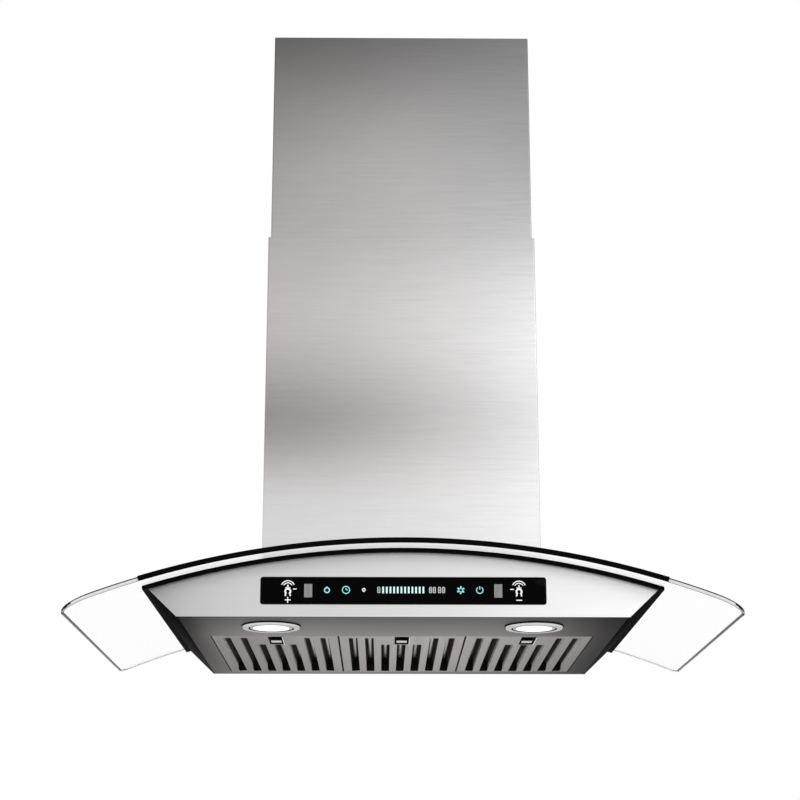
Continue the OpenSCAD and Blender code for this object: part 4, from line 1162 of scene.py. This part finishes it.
SLOT_OF = {part["node"]: part["material_slot"] for part in frame["record"]["subparts"]}
FINISH_OF_SLOT = {
    "black_rubber": black_rubber, "zinc_screw": zinc, "galvanised_steel": galvanised,
    "black_plastic": black_plastic, "circuit_board": circuit_board, "aluminium": aluminium,
    "spring_steel": spring_wire, "motor_paint": motor_paint, "grey_plastic": grey_plastic,
    "white_plastic": white_plastic,
}
# Width of the softened edges in millimetres
INNER_EDGES = {
    "glass_spacers": 0.4, "glass_screws": 0.3, "body_screws": 0.25, "chimney_screws": 0.25,
    "back_panel": 0.25, "bridge_plate": 0.3, "strip_carrier": 0.4, "control_board": 0.15,
    "lamp_body_left": 0.4, "lamp_body_right": 0.4, "lamp_clips": 0.1, "blower_box": 0.4,
    "blower_top_plate": 0.3, "volute_scroll": 0.2, "volute_side_left": 0.2, "volute_side_right": 0.2,
    "impeller": 0.15, "motor_shaft": 0.3, "motor": 0.8, "motor_bracket": 0.3, "motor_grommets": 0.3,
    "duct_collar": 0.3, "damper_pin": 0.3, "damper_flap_front": 0.3, "damper_flap_back": 0.3,
    "cable_gland": 0.3, "power_box": 0.8, "power_box_lid": 0.5, "power_board": 0.15,
    "run_capacitor": 1.5, "terminal_block": 0.3, "chimney_tabs": 0.3, "chimney_glides": 0.5,
    "chimney_bracket": 0.3,
}


def sink_discs(obj, least, rim, depth):
    """Sink a socket into every flat round end that is wider than the least radius."""
    open_mesh(obj)
    mesh = bmesh.from_edit_mesh(obj.data)
    for face in mesh.faces:
        middle = face.calc_center_median()
        reach = max((corner.co - middle).length for corner in face.verts)
        face.select_set(reach > least and face.calc_area() > 0.9 * math.pi * reach ** 2)
    bmesh.update_edit_mesh(obj.data)
    bpy.ops.mesh.inset(thickness=rim, depth=0, use_individual=True)
    bpy.ops.mesh.inset(thickness=0.1 * MM, depth=-depth, use_individual=True)
    close_mesh()


def flute(obj, along, centre, count, least, rim, depth):
    """Press grooves into the round side of a body that stands along one axis (0, 1 or 2)."""
    first, second = (axis for axis in range(3) if axis != along)

    def is_groove(middle, normal):
        out, up = middle[first] - centre[first], middle[second] - centre[second]
        part = int((math.atan2(up, out) + math.pi) / (math.pi / count))
        return abs(normal[along]) < 0.1 and math.hypot(out, up) > least and part % 2 == 0

    open_mesh(obj)
    select_faces(obj, is_groove)
    bpy.ops.mesh.inset(thickness=rim, depth=-depth)
    close_mesh()


def make_inner(node, edge):
    piece = copy_of(node + "_piece", node, whole_faces=node != "motor_bracket")
    low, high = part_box(node)
    centre = (low + high) / 2
    if node.endswith("screws"):
        sink_discs(piece, 2.8 * MM, 1.3 * MM, 0.8 * MM)
    if node == "motor":
        flute(piece, 0, centre, 12, 25 * MM, 2 * MM, 1 * MM)
        sink_discs(piece, 15 * MM, 3 * MM, 0.8 * MM)
    if node.startswith("lamp_body"):
        flute(piece, 2, centre, 16, 15 * MM, 0.6 * MM, 0.8 * MM)
        sink_discs(piece, 15 * MM, 3 * MM, 1.2 * MM)
    soften(piece, edge * MM)
    slot = SLOT_OF[node]
    hand_over(set_finishes(piece, FINISH_OF_SLOT[slot]), frame["nodes"][node]["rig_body"], slot, node)


def make_board_parts():
    """Relay, choke, chips and sockets on the two boards, and the screws of the terminal block."""
    _, board_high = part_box("power_board")
    _, terminal_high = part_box("terminal_block")
    control_low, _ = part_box("control_board")
    deck = board_high.z / MM
    face = control_low.y / MM
    parts = {
        "relay": (black_plastic, "black_plastic", [((-42, -362, deck), (-24, -348, deck + 15))]),
        "choke": (white_plastic, "white_plastic", [((14, -364, deck), (38, -347, deck + 18))]),
        "fuse_holder": (grey_plastic, "grey_plastic", [((-50, -404, deck), (-26, -396, deck + 7))]),
        "power_chips": (black_plastic, "black_plastic", [
            ((4, -402, deck), (16, -394, deck + 3)), ((26, -404, deck), (34, -396, deck + 3)),
        ]),
        "touch_chips": (black_plastic, "black_plastic", [
            ((-6, face - 1.2, -186), (6, face, -176)), ((70, face - 1.2, -184), (78, face, -178)),
            ((-88, face - 1.2, -184), (-78, face, -178)),
        ]),
    }
    for name, (finish, slot, blocks) in parts.items():
        pieces = [block(name, Vector(low) * MM, Vector(high) * MM) for low, high in blocks]
        piece = soften(join(name, pieces), 0.4 * MM)
        hand_over(set_finishes(piece, finish), "hood", slot)
    capacitors = join("board_capacitors", [
        rod("can", (x * MM, y * MM, (deck + 7) * MM), 4.5 * MM, 14 * MM)
        for x, y in ((-12, -356), (48, -352))
    ])
    sink_discs(capacitors, 4 * MM, 0.8 * MM, 0.3 * MM)
    hand_over(set_finishes(soften(capacitors, 0.4 * MM), aluminium), "hood", "aluminium")
    screws = join("terminal_screws", [
        rod("head", (x * MM, -377 * MM, terminal_high.z + 0.2 * MM), 2.2 * MM, 0.8 * MM)
        for x in (16, 28, 40)
    ])
    sink_discs(screws, 2 * MM, 1.2 * MM, 0.4 * MM)
    hand_over(set_finishes(screws, zinc), "hood", "zinc_screw")


def make_collar_bead():
    """A raised ring round the duct collar, where the hose clamp stops."""
    low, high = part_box("duct_collar")
    centre = Vector(((low.x + high.x) / 2, (low.y + high.y) / 2, high.z - 14 * MM))
    bead = turned("collar_bead", centre, [
        (74.6 * MM, 0), (75.8 * MM, 0.4 * MM), (76.2 * MM, 1.5 * MM), (75.8 * MM, 2.6 * MM),
        (74.6 * MM, 3 * MM),
    ], 96)
    hand_over(set_finishes(bead, black_plastic), "hood", "black_plastic")


for node, edge in INNER_EDGES.items():
    make_inner(node, edge)
make_board_parts()
make_collar_bead()


# Floor, background, lights and camera

def looked_at(surface):
    """1 where the camera, a mirror or clear glass looks, and 0 for the light that falls on things."""
    rays = surface.node_tree.nodes.new("ShaderNodeLightPath")
    seen = rays.outputs["Is Camera Ray"]
    for kind in ("Is Glossy Ray", "Is Transmission Ray"):
        seen = add(surface, "Math", {0: seen, 1: rays.outputs[kind]}, operation="MAXIMUM")
    return seen


def make_stage():
    floor_z = body_low.z - 1.0
    deselect_all()
    bpy.ops.mesh.primitive_plane_add(size=30, location=(0, 0, floor_z))
    floor = bpy.context.object
    floor.name = "floor"
    pale = new_finish("pale_floor", (0.8, 0.8, 0.8), rough=0.7, Emission_Color=(1, 1, 1, 1))
    speck = noise(pale, (3.0, 3.0, 3.0))
    wire(pale, tinted(pale, spread_to(pale, speck, 0.79, 0.81), NEUTRAL), "Base Color")
    wire(pale, mixed(pale, looked_at(pale), 0.0, 0.3), "Emission Strength")
    floor.data.materials.append(pale)


def make_background():
    """White where the camera, a mirror or clear glass looks at it; softer as a light."""
    world = bpy.data.worlds.new("studio")
    bpy.context.scene.world = world
    world.use_nodes = True
    background = world.node_tree.nodes["Background"]
    background.inputs["Color"].default_value = (1, 1, 1, 1)
    level = mixed(world, looked_at(world), 0.75, 1.0)
    world.node_tree.links.new(level, background.inputs["Strength"])


def make_light(name, place, aim, size, power):
    light = bpy.data.lights.new(name, "AREA")
    light.shape = "SQUARE"
    light.size = size
    light.energy = power
    lamp = bpy.data.objects.new(name, light)
    bpy.context.scene.collection.objects.link(lamp)
    lamp.location = place
    lamp.rotation_euler = (Vector(aim) - Vector(place)).to_track_quat("-Z", "Y").to_euler()


def make_camera():
    """Below the hood and in front of it, looking slightly up, as in the photograph."""
    camera = bpy.data.cameras.new("camera")
    holder = bpy.data.objects.new("camera", camera)
    bpy.context.scene.collection.objects.link(holder)
    holder.location = (-23.3 * MM, -2427.7 * MM, -539.6 * MM)
    pitch, yaw = math.radians(15.39), math.radians(0.57)
    holder.rotation_euler = (math.pi / 2 + pitch, 0, -yaw)
    camera.sensor_width = 36
    camera.lens = 81
    camera.shift_y = 0.04
    camera.clip_start, camera.clip_end = 0.05, 50
    bpy.context.scene.camera = holder


make_stage()
make_background()
make_light("key", (1.8, -2.6, 1.4), (0, -0.2, 0.1), 1.6, 22)
make_light("fill", (-2.2, -2.2, 0.4), (0, -0.2, 0), 1.8, 10)
make_camera()
bpy.context.scene.view_settings.view_transform = "Standard"
